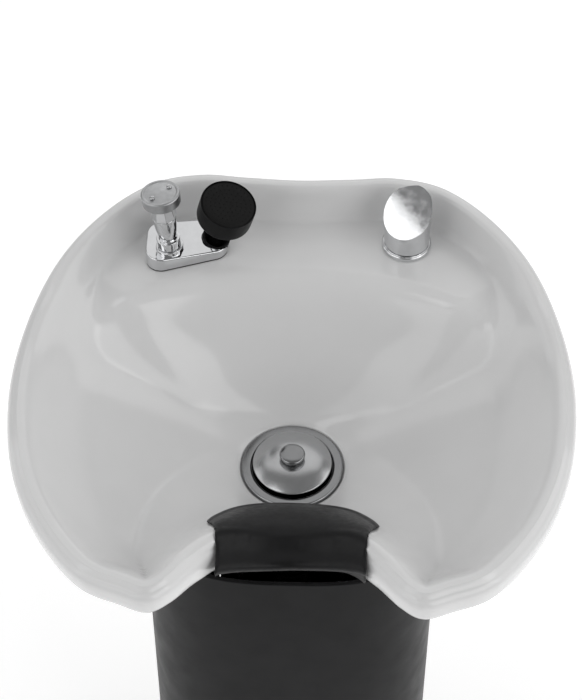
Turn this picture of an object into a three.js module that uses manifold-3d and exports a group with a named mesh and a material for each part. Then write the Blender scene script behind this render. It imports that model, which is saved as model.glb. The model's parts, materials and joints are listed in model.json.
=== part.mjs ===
// Shampoo backwash unit: a glazed tilting bowl on a moulded pedestal.
// Units are millimetres, +Z is up, the client's neck comes in from -Y, and the origin is on the
// floor under the middle of the unit, which is also under the centre of the drain.
import * as THREE from "three";
import { mergeVertices } from "three/addons/utils/BufferGeometryUtils.js";
import Module from "manifold-3d";

const wasm = await Module();
wasm.setup();

// ---------------------------------------------------------------- driving dimensions
const GAP = 0.3; // between two pieces that touch
const RIM_Z = 930; // top of the rim at the widest place
const REAR_RISE = 38; // how much higher the rim is at the rear
const NECK_DIP = 46; // how much lower it is under the neck
const DRAIN_Z = 780; // inner surface of the bowl at the drain
const DECK_Z = 921; // flat shelf behind the basin, for the fittings
const WALL = 13; // thickness of the fired body
const LIP_R = 11; // rounding of the rim's outer edge
const LIP_FLAT = 15; // from the outline to where the inner wall starts to fall
const APRON = 32; // height of the rim's outer face
const RING_INSET = 18; // how far in the rim's own rings of vertices reach

const DRAIN_SEAT_R = 58.5;
const DRAIN_HOLE_R = 45;
const DRAIN_PAD_R = 72;
const DRAIN_PAD_Z = 764;

const PED_HALF_X = 167;
const PED_HALF_Y = 160;
const PED_POWER = 3; // the plan is |x/a|^3 + |y/b|^3 = 1
const PED_TOP = 780;
const PED_WALL = 5;

const DOOR = { halfX: 98.5, low: 123, high: 657, play: 1.5 };
const DOOR_AXIS = { x: -106, y: 150.5 };
const LOCK = { x: 80, z: 390 };

const PIVOT_Z = 738; // tilt axis, along X, straight under the drain
const EAR_X = 108; // inner face of a tilt bracket's ear
const UPRIGHT_X = 118; // inner face of a frame upright

const MIXER = new THREE.Vector3(124, 213, DECK_Z);
const MIXER_TURN = -0.42; // the lever points forwards and to the left
const SEAM = { middle: 41, slope: 0.42, gap: 0.5 }; // between the mixer's body and its lever
const LIFT_Y = 14; // the lever's pin, behind the mixer's own axis
const LIFT_DEG = 18;
const BREAKER = new THREE.Vector3(-141.5, 184, DECK_Z + 2);
const BREAKER_AXIS = new THREE.Vector3(-0.094, 0.07, 0.993).normalize();
const GUIDE = new THREE.Vector3(-92, 204.5, DECK_Z + 14);
const SPRAY_AXIS = new THREE.Vector3(0.235, -0.15, 0.963).normalize();

// ---------------------------------------------------------------- materials
const finish = (color, roughness, metalness) =>
  new THREE.MeshStandardMaterial({ color, roughness, metalness });
const GLAZE = finish(0xe9e9e7, 0.08, 0);
const CHROME = finish(0xd5d6d8, 0.08, 1);
const BLACK_PLASTIC = finish(0x141414, 0.4, 0);
const PEDESTAL_BLACK = finish(0x232323, 0.35, 0);
const GEL = finish(0x1b1b1c, 0.55, 0);
const RUBBER = finish(0x101010, 0.8, 0);
const STEEL = finish(0x3a3c3e, 0.55, 0.9);
const ZINC = finish(0xa9abad, 0.4, 1);
const BRASS = finish(0xb08d4f, 0.35, 1);
const BRAID = finish(0xb4b6b8, 0.45, 0.9);
const WHITE_PLASTIC = finish(0xdadad6, 0.5, 0);
const RED = finish(0xa32020, 0.5, 0);
const BLUE = finish(0x20489a, 0.5, 0);

// ---------------------------------------------------------------- small geometry tools
const Z = new THREE.Vector3(0, 0, 1);
const { lerp, smoothstep } = THREE.MathUtils;

const box = (x0, x1, y0, y1, z0, z1) =>
  new THREE.BoxGeometry(x1 - x0, y1 - y0, z1 - z0).translate((x0 + x1) / 2, (y0 + y1) / 2, (z0 + z1) / 2);

// A body turned about +Z from [radius, z] points that run round the section, either way round.
function turned(points, sides) {
  const profile = points.map(([r, z]) => new THREE.Vector2(r, z));
  if (THREE.ShapeUtils.area(profile) < 0) profile.reverse();
  return new THREE.LatheGeometry(profile, sides).rotateX(Math.PI / 2);
}

// A ring or tube about +Z.
const tube = (inner, outer, z0, z1, sides = 32) =>
  turned([[inner, z0], [outer, z0], [outer, z1], [inner, z1], [inner, z0]], sides);

// A solid disc or rod about +Z.
const rod = (radius, z0, z1, sides = 32) => turned([[0, z0], [radius, z0], [radius, z1], [0, z1]], sides);

// The turn that carries +Z to another direction.
const turnTo = (axis) => new THREE.Quaternion().setFromUnitVectors(Z, axis);
const placed = (geometry, position, axis = Z) =>
  geometry.applyQuaternion(turnTo(axis)).translate(position.x, position.y, position.z);

function extruded(outline, z0, z1, holes = []) {
  const shape = new THREE.Shape(outline.map(([x, y]) => new THREE.Vector2(x, y)));
  shape.holes = holes.map((h) => new THREE.Path(h.map(([x, y]) => new THREE.Vector2(x, y))));
  return new THREE.ExtrudeGeometry(shape, { depth: z1 - z0, bevelEnabled: false }).translate(0, 0, z0);
}

// A hose or pipe of a round section along a smooth curve through the points.
function piped(points, radius, steps, sides = 8, bore = 0) {
  const circle = (r) => new THREE.Shape().absarc(0, 0, r, 0, 2 * Math.PI, false);
  const shape = circle(radius);
  if (bore) shape.holes.push(new THREE.Path().absarc(0, 0, bore, 0, 2 * Math.PI, true));
  const path = new THREE.CatmullRomCurve3(points.map((p) => new THREE.Vector3(...p)), false, "centripetal");
  return new THREE.ExtrudeGeometry(shape, { extrudePath: path, steps, curveSegments: sides / 2 });
}

// ---------------------------------------------------------------- booleans
function solidOf(geometry) {
  const flat = geometry.index ? geometry.toNonIndexed() : geometry.clone();
  const bare = new THREE.BufferGeometry().setAttribute("position", flat.getAttribute("position"));
  const merged = mergeVertices(bare, 1e-3);
  const vertProperties = merged.attributes.position.array;
  const triVerts = new Uint32Array(merged.index.array);
  return new wasm.Manifold(new wasm.Mesh({ numProp: 3, vertProperties, triVerts }));
}

function geometryOf(solid) {
  const mesh = solid.getMesh();
  const geometry = new THREE.BufferGeometry();
  geometry.setAttribute("position", new THREE.BufferAttribute(new Float32Array(mesh.vertProperties), 3));
  geometry.setIndex(new THREE.BufferAttribute(new Uint32Array(mesh.triVerts), 1));
  return geometry.toNonIndexed();
}

const joined = (first, ...rest) =>
  geometryOf(rest.reduce((whole, g) => whole.add(solidOf(g)), solidOf(first)));
const cut = (from, ...tools) =>
  geometryOf(tools.reduce((whole, g) => whole.subtract(solidOf(g)), solidOf(from)));
// A nut: flats outside, a round bore.
const nut = (bore, across, z0, z1, flats = 6) =>
  cut(rod(across, z0, z1, flats), rod(bore, z0 - 1, z1 + 1, bore > 20 ? 36 : 20));
const common = (a, b) => geometryOf(solidOf(a).intersect(solidOf(b)));

// ---------------------------------------------------------------- scene tree
const unit = new THREE.Group();
const pedestal = new THREE.Group();
const bowlGroup = new THREE.Group();
unit.add(pedestal, bowlGroup);

function add(group, name, geometry, material) {
  geometry.computeVertexNormals();
  const mesh = new THREE.Mesh(geometry, material);
  mesh.name = name;
  group.add(mesh);
  return mesh;
}

// A group of pieces that share an axis of their own.
function station(parent, position, axis = Z, turn = 0) {
  const group = new THREE.Group();
  group.position.copy(position);
  group.quaternion.copy(turnTo(axis)).multiply(new THREE.Quaternion().setFromAxisAngle(Z, turn));
  parent.add(group);
  return group;
}

// ---------------------------------------------------------------- the bowl's shape
// Half of the rim's outline, from the rear middle round the right side to the neck.
const RIM_HALF = [
  [0, 272], [60, 275], [112, 278], [168, 262], [226, 209], [270, 143], [297, 62], [304, -20],
  [292, -112], [262, -186], [214, -247], [168, -269], [138, -278], [114, -264], [88, -232], [56, -200],
  [0, -187],
];
const rimPoints = [...RIM_HALF, ...RIM_HALF.slice(1, -1).reverse().map(([x, y]) => [-x, y])];
const rimCurve = new THREE.CatmullRomCurve3(
  rimPoints.map(([x, y]) => new THREE.Vector3(x, y, 0)), true, "catmullrom", 0.5);
const DENSE = 640;
const dense = Array.from({ length: DENSE }, (_, i) => rimCurve.getPoint(i / DENSE));

function insetAt(x, y) {
  let best = Infinity;
  for (const p of dense) best = Math.min(best, (p.x - x) ** 2 + (p.y - y) ** 2);
  return Math.sqrt(best);
}

const NECK_HALF = 125;
const neckShare = (x, y) =>
  (Math.abs(x) < NECK_HALF ? 0.5 + 0.5 * Math.cos((Math.PI * x) / NECK_HALF) : 0) * smoothstep(-y, 60, 150);

const rimTop = (x, y) =>
  RIM_Z + REAR_RISE * smoothstep(y, 5, 245) - 4 * smoothstep(-y, 100, 250) - NECK_DIP * neckShare(x, y);

function smoothMax(a, b, blend) {
  const h = Math.max(blend - Math.abs(a - b), 0) / blend;
  return Math.max(a, b) + (h * h * blend) / 4;
}

// The wall inside the lip: steep at the rear, gentle under the neck.
function wallZ(x, y, inset) {
  const slope = lerp(lerp(2.2, 5, smoothstep(y, 120, 200)), 0.95, neckShare(x, y));
  const soft = lerp(15, 4, smoothstep(y, 120, 200));
  const run = Math.max(inset - LIP_FLAT, 0);
  return rimTop(x, y) - slope * (Math.hypot(run, soft) - soft);
}

// The basin as a funnel from the drain's seat to the foot of that wall.
function funnelZ(x, y, inset) {
  const out = Math.max(Math.hypot(x, y) - DRAIN_SEAT_R, 0);
  const u = out / (out + Math.max(inset - 22, 0) + 1e-6);
  const foot = lerp(rimTop(x, y) - 26, 850, smoothstep(y, 80, 170));
  return DRAIN_Z + (foot - DRAIN_Z) * (0.75 * u + 0.25 * u * u);
}

// The shelf behind the basin, with a rounded front edge that drops to the drain and ends that sink.
const EDGE_SOFT = 22;
const EDGE_SLOPE = 1.7;
function deckZ(x, y) {
  const front = 155.5 - 0.0009 * x * x - 0.9e-8 * x ** 4 - y;
  const fall = front < -EDGE_SOFT ? 0
    : front > EDGE_SOFT ? EDGE_SLOPE * front
      : (EDGE_SLOPE * (front + EDGE_SOFT) ** 2) / (4 * EDGE_SOFT);
  const round = Math.atan2(Math.abs(x), Math.max(y + 30, 1));
  return DECK_Z - fall - 60 * smoothstep(round, 0.84, 1.22);
}

const BASIN_BLEND = 60; // how softly the wall runs out into the funnel
// How softly both run into the shelf: towards the basin, round the fittings, and how much more
// where the shelf's front runs out, clear of the drain.
const DECK_BLEND = { basin: 30, fittings: 12, valley: 40 };
function topZ(x, y, inset) {
  if (inset < LIP_R) return rimTop(x, y) - LIP_R + Math.sqrt(LIP_R ** 2 - (LIP_R - inset) ** 2);
  const basin = smoothMax(wallZ(x, y, inset), funnelZ(x, y, inset), BASIN_BLEND);
  const blend = lerp(DECK_BLEND.basin, DECK_BLEND.fittings, smoothstep(y, 120, 190));
  const clear = smoothstep(Math.hypot(x, y), 70, 150) * (1 - smoothstep(y, 90, 150));
  return smoothMax(basin, deckZ(x, y), blend + DECK_BLEND.valley * clear);
}

// The underside keeps a ball of the wall's thickness below every point of the inside.
function underZ(x, y) {
  let low = rimTop(x, y) - APRON;
  for (const reach of [0, 0.5, 0.85])
    for (let k = 0; k < (reach ? 12 : 1); k++) {
      const px = x + reach * WALL * Math.cos((k * Math.PI) / 6);
      const py = y + reach * WALL * Math.sin((k * Math.PI) / 6);
      const inset = insetAt(px, py);
      if (inset > LIP_FLAT) low = Math.min(low, topZ(px, py, inset) - WALL * Math.sqrt(1 - reach * reach));
    }
  return low;
}

// Closed rings of vertices, from the drain's seat up over the rim and back under to the drain's pad.
function bowlRings() {
  const count = rimPoints.length * 2;
  const rim = Array.from({ length: count }, (_, i) => rimCurve.getPoint(i / count));
  const inward = rim.map((_, i) => {
    const t = rimCurve.getTangent(i / count);
    return new THREE.Vector3(t.y, -t.x, 0).normalize();
  });
  const inset = (i, d) => rim[i].clone().addScaledVector(inward[i], d);
  const angle = rim.map((_, i) => Math.atan2(inset(i, RING_INSET).x, inset(i, RING_INSET).y));
  const spoke = angle.map((_, i) => {
    let sum = 0;
    for (let k = -3; k <= 3; k++) {
      let a = angle[(i + k + count) % count] - angle[i];
      if (a > Math.PI) a -= 2 * Math.PI;
      if (a < -Math.PI) a += 2 * Math.PI;
      sum += a;
    }
    return angle[i] + sum / 7;
  });
  const circle = (r, z) => spoke.map((a) => [r * Math.sin(a), r * Math.cos(a), z]);
  const between = (share, radius, height) => spoke.map((a, i) => {
    const p = inset(i, RING_INSET);
    const x = lerp(p.x, radius * Math.sin(a), share);
    const y = lerp(p.y, radius * Math.cos(a), share);
    return [x, y, height(x, y)];
  });
  const lip = (d, height) => rim.map((_, i) => {
    const p = inset(i, d);
    return [p.x, p.y, height(p.x, p.y)];
  });
  const inside = (x, y) => topZ(x, y, insetAt(x, y));
  const rings = [circle(DRAIN_HOLE_R, DRAIN_Z - 2.5), circle(DRAIN_SEAT_R, DRAIN_Z - 2.5)];
  for (const s of [1, 0.9, 0.8, 0.7, 0.62, 0.56, 0.5, 0.45, 0.38, 0.28, 0.18, 0.1, 0.05, 0.02])
    rings.push(between(s, DRAIN_SEAT_R, inside));
  for (const d of [RING_INSET, LIP_FLAT, LIP_R, 5, 1.4]) rings.push(lip(d, (x, y) => topZ(x, y, d)));
  rings.push(lip(0, (x, y) => rimTop(x, y) - LIP_R));
  rings.push(lip(0.6, (x, y) => rimTop(x, y) - 22), lip(3, (x, y) => rimTop(x, y) - APRON + 3));
  rings.push(lip(7, (x, y) => rimTop(x, y) - APRON), lip(RING_INSET - 4, underZ));
  for (const s of [0.03, 0.08, 0.15, 0.26, 0.38, 0.5, 0.62, 0.76, 0.9, 1])
    rings.push(between(s, DRAIN_PAD_R + 5, underZ));
  rings.push(circle(DRAIN_PAD_R, DRAIN_PAD_Z), circle(DRAIN_HOLE_R, DRAIN_PAD_Z));
  return rings;
}

// A skin over rings that closes on itself both ways.
function skinned(rings) {
  const n = rings[0].length;
  const indices = [];
  rings.forEach((_, j) => {
    const next = (j + 1) % rings.length;
    for (let i = 0; i < n; i++) {
      const k = (i + 1) % n;
      indices.push(j * n + i, next * n + k, next * n + i, j * n + i, j * n + k, next * n + k);
    }
  });
  const geometry = new THREE.BufferGeometry();
  geometry.setAttribute("position", new THREE.Float32BufferAttribute(rings.flat(2), 3));
  geometry.setIndex(indices);
  return geometry;
}

const BOSS = { x: 92, y: 70, low: 770, r: 14 };
const corners = [[1, 1], [-1, 1], [-1, -1], [1, -1]];

// Holes for the fittings, of a given radius.
const breakerHole = (r) => placed(rod(r, -60, 60, 20), BREAKER, BREAKER_AXIS);
const guideHole = (r) => placed(rod(r, -80, 60, 24), GUIDE, SPRAY_AXIS);

function bowlBody() {
  const bosses = corners.map(([i, j]) =>
    placed(rod(BOSS.r, BOSS.low, 797, 20), new THREE.Vector3(i * BOSS.x, j * BOSS.y, 0)));
  const taps = corners.map(([i, j]) =>
    placed(rod(4.6, BOSS.low - 5, 789, 12), new THREE.Vector3(i * BOSS.x, j * BOSS.y, 0)));
  const mixerHole = placed(rod(17.5, -60, 60, 24), MIXER);
  return cut(joined(skinned(bowlRings()), ...bosses), ...taps, mixerHole, breakerHole(11.5), guideHole(13));
}

add(bowlGroup, "bowl", bowlBody(), GLAZE);

// ---------------------------------------------------------------- neck rest
// A gel saddle that hooks over the rim in the neck cut-out and runs back into the basin. Lines lie
// side by side along it, each from its fold over the rim's front to its edge in the basin.
const REST = {
  shift: 4.5, // to the right of the middle
  halfFold: 77, halfEdge: 93, // half its width at the fold and at the edge
  foldY: -206, foldBend: -27, edgeY: -84, edgeBend: -52,
  crown: 20, corner: 8, // thickness of the gel in the middle and at the corners
  lift: 4.2, // clearance under the gel
};
const STATIONS = 15;

// The plan position at share k of the half width and share q of the way from the fold to the edge.
function restPlan(k, q) {
  const fold = [REST.halfFold * k, REST.foldY + REST.foldBend * Math.abs(k) ** 1.8];
  const edge = [REST.halfEdge * k, REST.edgeY + REST.edgeBend * Math.abs(k) ** 3.6];
  return [REST.shift + lerp(fold[0], edge[0], q), lerp(fold[1], edge[1], q)];
}

// How far inside the rim's outline a point lies, negative outside it.
function signedInset(x, y) {
  const at = dense.reduce((best, p, i) =>
    Math.hypot(p.x - x, p.y - y) < Math.hypot(dense[best].x - x, dense[best].y - y) ? i : best, 0);
  const tangent = rimCurve.getTangent(at / DENSE);
  const side = (x - dense[at].x) * tangent.y - (y - dense[at].y) * tangent.x;
  return Math.sign(side) * insetAt(x, y);
}

// Where the line k crosses a distance inside the outline.
function restShare(k, inset) {
  let low = -0.3;
  let high = 0.6;
  for (let i = 0; i < 24; i++) {
    const middle = (low + high) / 2;
    if (signedInset(...restPlan(k, middle)) < inset) low = middle;
    else high = middle;
  }
  return (low + high) / 2;
}

function restSection(k) {
  const start = restShare(k, 14);
  const fold = Math.min(0, restShare(k, -9));
  const rim = (q, rise) => {
    const [x, y] = restPlan(k, q);
    return [x, y, rimTop(x, y) + rise];
  };
  const above = (q, lift) => {
    const [x, y] = restPlan(k, q);
    return [x, y, topZ(x, y, insetAt(x, y)) + lift];
  };
  const hook = restShare(k, -3);
  const thick = lerp(REST.crown, REST.corner, Math.abs(k) ** 3);
  const under = [0, 0.07, 0.15, 0.3, 0.6, 0.85].map((share) => above(lerp(start, 1, share), REST.lift));
  const over = [[0.97, 0.8], [0.86, 1], [0.6, 0.95], [0.3, 0.75], [0.12, 0.6]].map(([share, rise]) =>
    above(lerp(start, 1, share), Math.max(thick * rise, REST.lift + 4)));
  return [
    rim(hook, -28), rim(hook, -9), rim(restShare(k, 1.5), -1), rim(restShare(k, 7), 4.4), ...under,
    above(1, REST.lift), above(1, REST.lift + 2.5), ...over,
    rim(restShare(k, 12), 8.5), rim(restShare(k, 1), 7), rim(fold, 0), rim(fold - 0.01, -8), rim(fold, -24),
    rim(restShare(k, -6), -29),
  ];
}

function neckRest() {
  const sections = Array.from({ length: STATIONS }, (_, j) => restSection(1 - (2 * j) / (STATIONS - 1)));
  const n = sections[0].length;
  const last = (STATIONS - 1) * n;
  const indices = [];
  for (let j = 0; j + 1 < STATIONS; j++)
    for (let i = 0; i < n; i++) {
      const k = (i + 1) % n;
      indices.push(j * n + i, (j + 1) * n + i, (j + 1) * n + k, j * n + i, (j + 1) * n + k, j * n + k);
    }
  const face = (section) => section.map(([, y, z]) => new THREE.Vector2(y, z));
  for (const [a, b, c] of THREE.ShapeUtils.triangulateShape(face(sections[0]), [])) indices.push(a, b, c);
  for (const [a, b, c] of THREE.ShapeUtils.triangulateShape(face(sections.at(-1)), []))
    indices.push(last + a, last + c, last + b);
  const geometry = new THREE.BufferGeometry();
  geometry.setAttribute("position", new THREE.Float32BufferAttribute(sections.flat(2), 3));
  geometry.setIndex(indices);
  return geometry;
}

add(bowlGroup, "neck_rest", neckRest(), GEL);

// ---------------------------------------------------------------- drain and hair strainer
const seat = DRAIN_Z - 2.5;

add(bowlGroup, "drain_flange", turned([
  [33, seat - 47], [46 - 1.6, seat - 45], [46 - 1.6, seat - 10], [45 - 1, seat + 5],
  [54, seat + 5], [57.5, seat + 2.5], [57.5, seat + GAP], [44.7, seat + GAP], [44.7, DRAIN_PAD_Z - 5],
  [46, DRAIN_PAD_Z - 6], [46, seat - 46], [44, seat - 49], [20, seat - 49], [20, seat - 60],
  [17, seat - 60], [17, seat - 47], [33, seat - 47],
], 36), CHROME);
add(bowlGroup, "drain_gasket", tube(48, 62, DRAIN_PAD_Z - 4.5, DRAIN_PAD_Z - GAP, 36), RUBBER);
add(bowlGroup, "drain_locknut", nut(46.6, 64, 746, DRAIN_PAD_Z - 4.8, 8), ZINC);
add(bowlGroup, "drain_tailpiece", turned([
  [20.3, 690], [24, 690], [24, 726], [20.3, 726], [20.3, 690],
], 24), ZINC);

const COVER_R = 44.3;
const COVER_Z = seat + 8.5;
add(bowlGroup, "strainer_cover", turned([
  [4, COVER_Z], [COVER_R - 2, COVER_Z], [COVER_R, COVER_Z + 1.5], [COVER_R - 1, COVER_Z + 4],
  [30, COVER_Z + 8], [16, COVER_Z + 10], [4, COVER_Z + 10], [4, COVER_Z],
], 32), CHROME);
add(bowlGroup, "strainer_knob", turned([
  [0, COVER_Z - 2], [3.7, COVER_Z - 2], [3.7, COVER_Z + 10.3], [13, COVER_Z + 10.3], [14.5, COVER_Z + 12],
  [14, COVER_Z + 17], [11.5, COVER_Z + 19], [0, COVER_Z + 19],
], 28), CHROME);

function strainerBasket() {
  const low = seat - 38;
  const cup = turned([
    [0, low], [36, low], [38, low + 2], [38, seat + 3], [36.5, seat + 3], [36.5, low + 3], [3.4, low + 2],
    [3.4, COVER_Z - 2.3], [0, COVER_Z - 2.3],
  ], 28);
  const holes = Array.from({ length: 6 }, (_, i) => {
    const a = (i * Math.PI) / 3;
    return placed(rod(5, low - 5, low + 8, 10), new THREE.Vector3(20 * Math.cos(a), 20 * Math.sin(a), 0));
  });
  return cut(cup, ...holes);
}
add(bowlGroup, "strainer_basket", strainerBasket(), CHROME);

// ---------------------------------------------------------------- plate, breaker and hose guide
const PLATE = [[-170, 157], [-76, 188], [-87, 236], [-170, 220]];
const PLATE_R = 17;
const PLATE_Z = DECK_Z + 2.1;
const PLATE_TOP = { left: 17, right: 10 };
const SEAT_UP = 20; // height of the breaker's seat along its own axis

function plateOutline() {
  const outline = [];
  PLATE.forEach((corner, i) => {
    const here = new THREE.Vector2(...corner);
    const before = new THREE.Vector2(...PLATE.at(i - 1)).sub(here).normalize();
    const after = new THREE.Vector2(...PLATE[(i + 1) % 4]).sub(here).normalize();
    const half = Math.acos(before.dot(after)) / 2;
    const centre = before.clone().add(after).normalize().multiplyScalar(PLATE_R / Math.sin(half)).add(here);
    const start = Math.atan2(before.x, -before.y);
    const sweep = Math.PI - 2 * half;
    for (let k = 0; k <= 5; k++) {
      const a = start + (k / 5) * sweep;
      outline.push([centre.x + PLATE_R * Math.cos(a), centre.y + PLATE_R * Math.sin(a)]);
    }
  });
  return outline;
}

function fixturePlate() {
  const block = extruded(plateOutline(), PLATE_Z, PLATE_Z + 30);
  const slope = (PLATE_TOP.left - PLATE_TOP.right) / 86;
  const tilt = turnTo(new THREE.Vector3(slope, 0, 1).normalize());
  const over = box(-300, 300, -300, 300, 0, 100).applyQuaternion(tilt);
  over.translate(-158, 190, PLATE_Z + PLATE_TOP.left);
  const boss = placed(rod(14.5, 0, SEAT_UP, 28), BREAKER, BREAKER_AXIS);
  const under = box(-300, 300, -300, 300, 800, PLATE_Z);
  return cut(joined(cut(block, over), boss), under, breakerHole(11.6), guideHole(16.4));
}

add(bowlGroup, "fixture_plate", fixturePlate(), CHROME);
add(bowlGroup, "plate_gasket",
  cut(extruded(plateOutline(), DECK_Z + GAP, PLATE_Z - GAP), breakerHole(12.2), guideHole(13.2)), RUBBER);

const breaker = station(bowlGroup, BREAKER, BREAKER_AXIS);
const up = SEAT_UP + GAP;

function breakerBody() {
  const core = turned([
    [0, -45], [11, -45], [11, up], [12.5, up], [12.5, up + 11], [10.5, up + 12], [10.5, up + 15],
    [11, up + 16], [12.4, up + 26], [13.2, up + 36], [13.2, up + 43], [11, up + 43],
    [11, up + 59], [14, up + 60], [14, up + 68], [10, up + 68], [10, up + 52], [0, up + 52],
  ], 20);
  const shoulder = turned([[0, up + 42], [13.9, up + 42], [12.2, up + 60], [0, up + 60]], 8);
  const bore = rod(10, up + 52, up + 70, 28);
  return cut(joined(core, shoulder), bore, rod(4, up + 40, up + 53, 12));
}

add(breaker, "vacuum_breaker_body", breakerBody(), CHROME);
add(breaker, "breaker_poppet", joined(rod(9.4, up + 52 + GAP, up + 56, 20), rod(3.5, up + 43, up + 54, 12)),
  WHITE_PLASTIC);
const capLow = up + 68 + GAP;
const screwSpots = [[-8, -9.5], [9.5, 8]];
add(breaker, "vacuum_breaker_cap", cut(turned([
  [0, capLow], [20.4, capLow], [22, capLow + 1.5], [22, capLow + 8.5], [20.5, capLow + 10.5],
  [17, capLow + 11], [16.5, capLow + 10], [0, capLow + 10],
], 36), ...screwSpots.map(([x, y]) => rod(2, capLow + 4, capLow + 20, 10).translate(x, y, 0))), CHROME);
screwSpots.forEach(([x, y], i) => {
  const head = joined(rod(3, capLow + 10 + GAP, capLow + 12, 14), rod(1.7, capLow + 4.5, capLow + 11, 10));
  const slot = box(-4, 4, -0.5, 0.5, capLow + 11.2, capLow + 14);
  add(breaker, `cap_screw_${i + 1}`, cut(head, slot).translate(x, y, 0), STEEL);
});
add(breaker, "breaker_lock_nut", nut(11.6, 17.5, -32, -20.5, 6), ZINC);

const spray = station(bowlGroup, GUIDE, SPRAY_AXIS);
add(spray, "hose_guide", turned([
  [8.6, -46], [12.5, -46], [12.5, -7.5], [16, -7.5], [16, -0.5], [14, 1], [11, -2], [8.6, -6], [8.6, -46],
], 28), BLACK_PLASTIC);
add(spray, "guide_nut", nut(13, 18, -44, -35, 6), ZINC);
const FACE_UP = 69;
add(spray, "spray_stem", turned([
  [0, -125], [8.3, -125], [8.3, 14], [7, 16], [7, 26.5], [0, 26.5],
], 20), BRAID);
add(spray, "spray_head", turned([
  [7.3, 18], [9.5, 18], [10.5, 20], [12, 30], [22, 37], [30, 42.5], [31.4, 46], [31.4, FACE_UP - 2],
  [30, FACE_UP], [28, FACE_UP], [27, FACE_UP - 3], [24, FACE_UP - 14], [7.3, FACE_UP - 14],
  [7.3, 18],
], 30), BLACK_PLASTIC);
add(spray, "spray_face", turned([
  [0, FACE_UP - 13.7], [23.6, FACE_UP - 13.7], [26.4, FACE_UP - 3], [20, FACE_UP - 2],
  [0, FACE_UP - 1.5],
], 36), RUBBER);

// ---------------------------------------------------------------- mixer
const mixer = station(bowlGroup, MIXER, Z, MIXER_TURN);
const seamAt = (y) => SEAM.middle + SEAM.slope * y;
const sideCut = (points) => extruded(points, -40, 40).rotateX(Math.PI / 2).rotateZ(Math.PI / 2);
const liftZ = seamAt(LIFT_Y);

add(mixer, "mixer_base_ring", tube(17.4, 28, GAP, 8, 32), CHROME);
add(mixer, "mixer_shank", rod(17, -55, 24, 28), BRASS);
add(mixer, "mixer_shank_nut", nut(17.5, 25, -27, -15, 6), ZINC);

function mixerBody() {
  const backSlope = Math.tan(Math.atan(SEAM.slope) - THREE.MathUtils.degToRad(LIFT_DEG + 1));
  const side = sideCut([
    [-30, 0], [30, 0], [30, liftZ - SEAM.gap + backSlope * (30 - LIFT_Y)], [LIFT_Y, liftZ - SEAM.gap],
    [-30, seamAt(-30) - SEAM.gap],
  ]);
  const lug = box(-4, 4, LIFT_Y - 4.5, LIFT_Y + 4.5, liftZ - 10, liftZ + 4.5);
  const pinHole = rod(2, -30, 30, 12).rotateY(Math.PI / 2).translate(0, LIFT_Y, liftZ);
  const bore = rod(17.4, -5, 24 + GAP, 28);
  return cut(joined(common(rod(25.8, 8 + GAP, 80, 32), side), lug), pinHole, bore);
}

const facetAt = (y) => 54 + 0.62 * y; // the lever's slanted top

function mixerLever() {
  const side = sideCut([[-32, seamAt(-32)], [28, seamAt(28)], [28, facetAt(28)], [-32, facetAt(-32)]]);
  const block = common(rod(27, 0, 120, 32).translate(0, -1.2, 0), side);
  const slot = box(-4.6, 4.6, LIFT_Y - 7.3, LIFT_Y + 7.3, liftZ - 12, liftZ + 7.3);
  const pinHole = rod(2, -21, 21, 12).rotateY(Math.PI / 2).translate(0, LIFT_Y, liftZ);
  return cut(block, slot, pinHole);
}

add(mixer, "mixer_body", mixerBody(), CHROME);
add(mixer, "mixer_lever", mixerLever(), CHROME);
add(mixer, "mixer_lever_pin",
  rod(1.7, -20, 20, 10).rotateY(Math.PI / 2).translate(0, LIFT_Y, liftZ), STEEL);

// ---------------------------------------------------------------- tilt cradle
const CRADLE_TOP = BOSS.low - GAP;
const EAR_HOLE_R = 6.5;
const crossHole = (r, x0, x1) => rod(r, x0, x1, 16).rotateY(Math.PI / 2).translate(0, 0, PIVOT_Z);

function tiltCradle() {
  const plate = box(-113, 113, -95, 95, CRADLE_TOP - 6, CRADLE_TOP);
  const ears = [1, -1].map((s) =>
    box(Math.min(s * EAR_X, s * 113), Math.max(s * EAR_X, s * 113), -20, 20, PIVOT_Z - 14, CRADLE_TOP - 3));
  const bolts = corners.map(([i, j]) => rod(4.6, 700, 800, 12).translate(i * BOSS.x, j * BOSS.y, 0));
  return cut(joined(plate, ...ears), rod(76, 700, 800, 36), ...bolts, crossHole(EAR_HOLE_R, -150, 150));
}

add(bowlGroup, "tilt_cradle", tiltCradle(), STEEL);
corners.forEach(([i, j], k) => {
  const low = CRADLE_TOP - 6 - GAP;
  const bolt = joined(rod(4.2, low - 3, 788, 10), rod(7.5, low - 6, low, 6));
  add(bowlGroup, `cradle_bolt_${k + 1}`, bolt.translate(i * BOSS.x, j * BOSS.y, 0), ZINC);
});

// ---------------------------------------------------------------- pedestal
function superellipse(halfX, halfY, count = 60) {
  return Array.from({ length: count }, (_, i) => {
    const a = (2 * Math.PI * i) / count;
    const c = Math.cos(a);
    const s = Math.sin(a);
    const r = (Math.abs(c / halfX) ** PED_POWER + Math.abs(s / halfY) ** PED_POWER) ** (-1 / PED_POWER);
    return [r * c, r * s];
  });
}

const wallShell = () => extruded(superellipse(PED_HALF_X, PED_HALF_Y), 0, PED_TOP,
  [superellipse(PED_HALF_X - PED_WALL, PED_HALF_Y - PED_WALL)]);
const KNUCKLE = { r: 4.3, bore: 2.3, low: [190, 535], height: 65 };
const knuckleTube = (z0, z1) =>
  tube(KNUCKLE.bore, KNUCKLE.r, z0, z1, 16).translate(DOOR_AXIS.x, DOOR_AXIS.y, 0);

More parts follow.
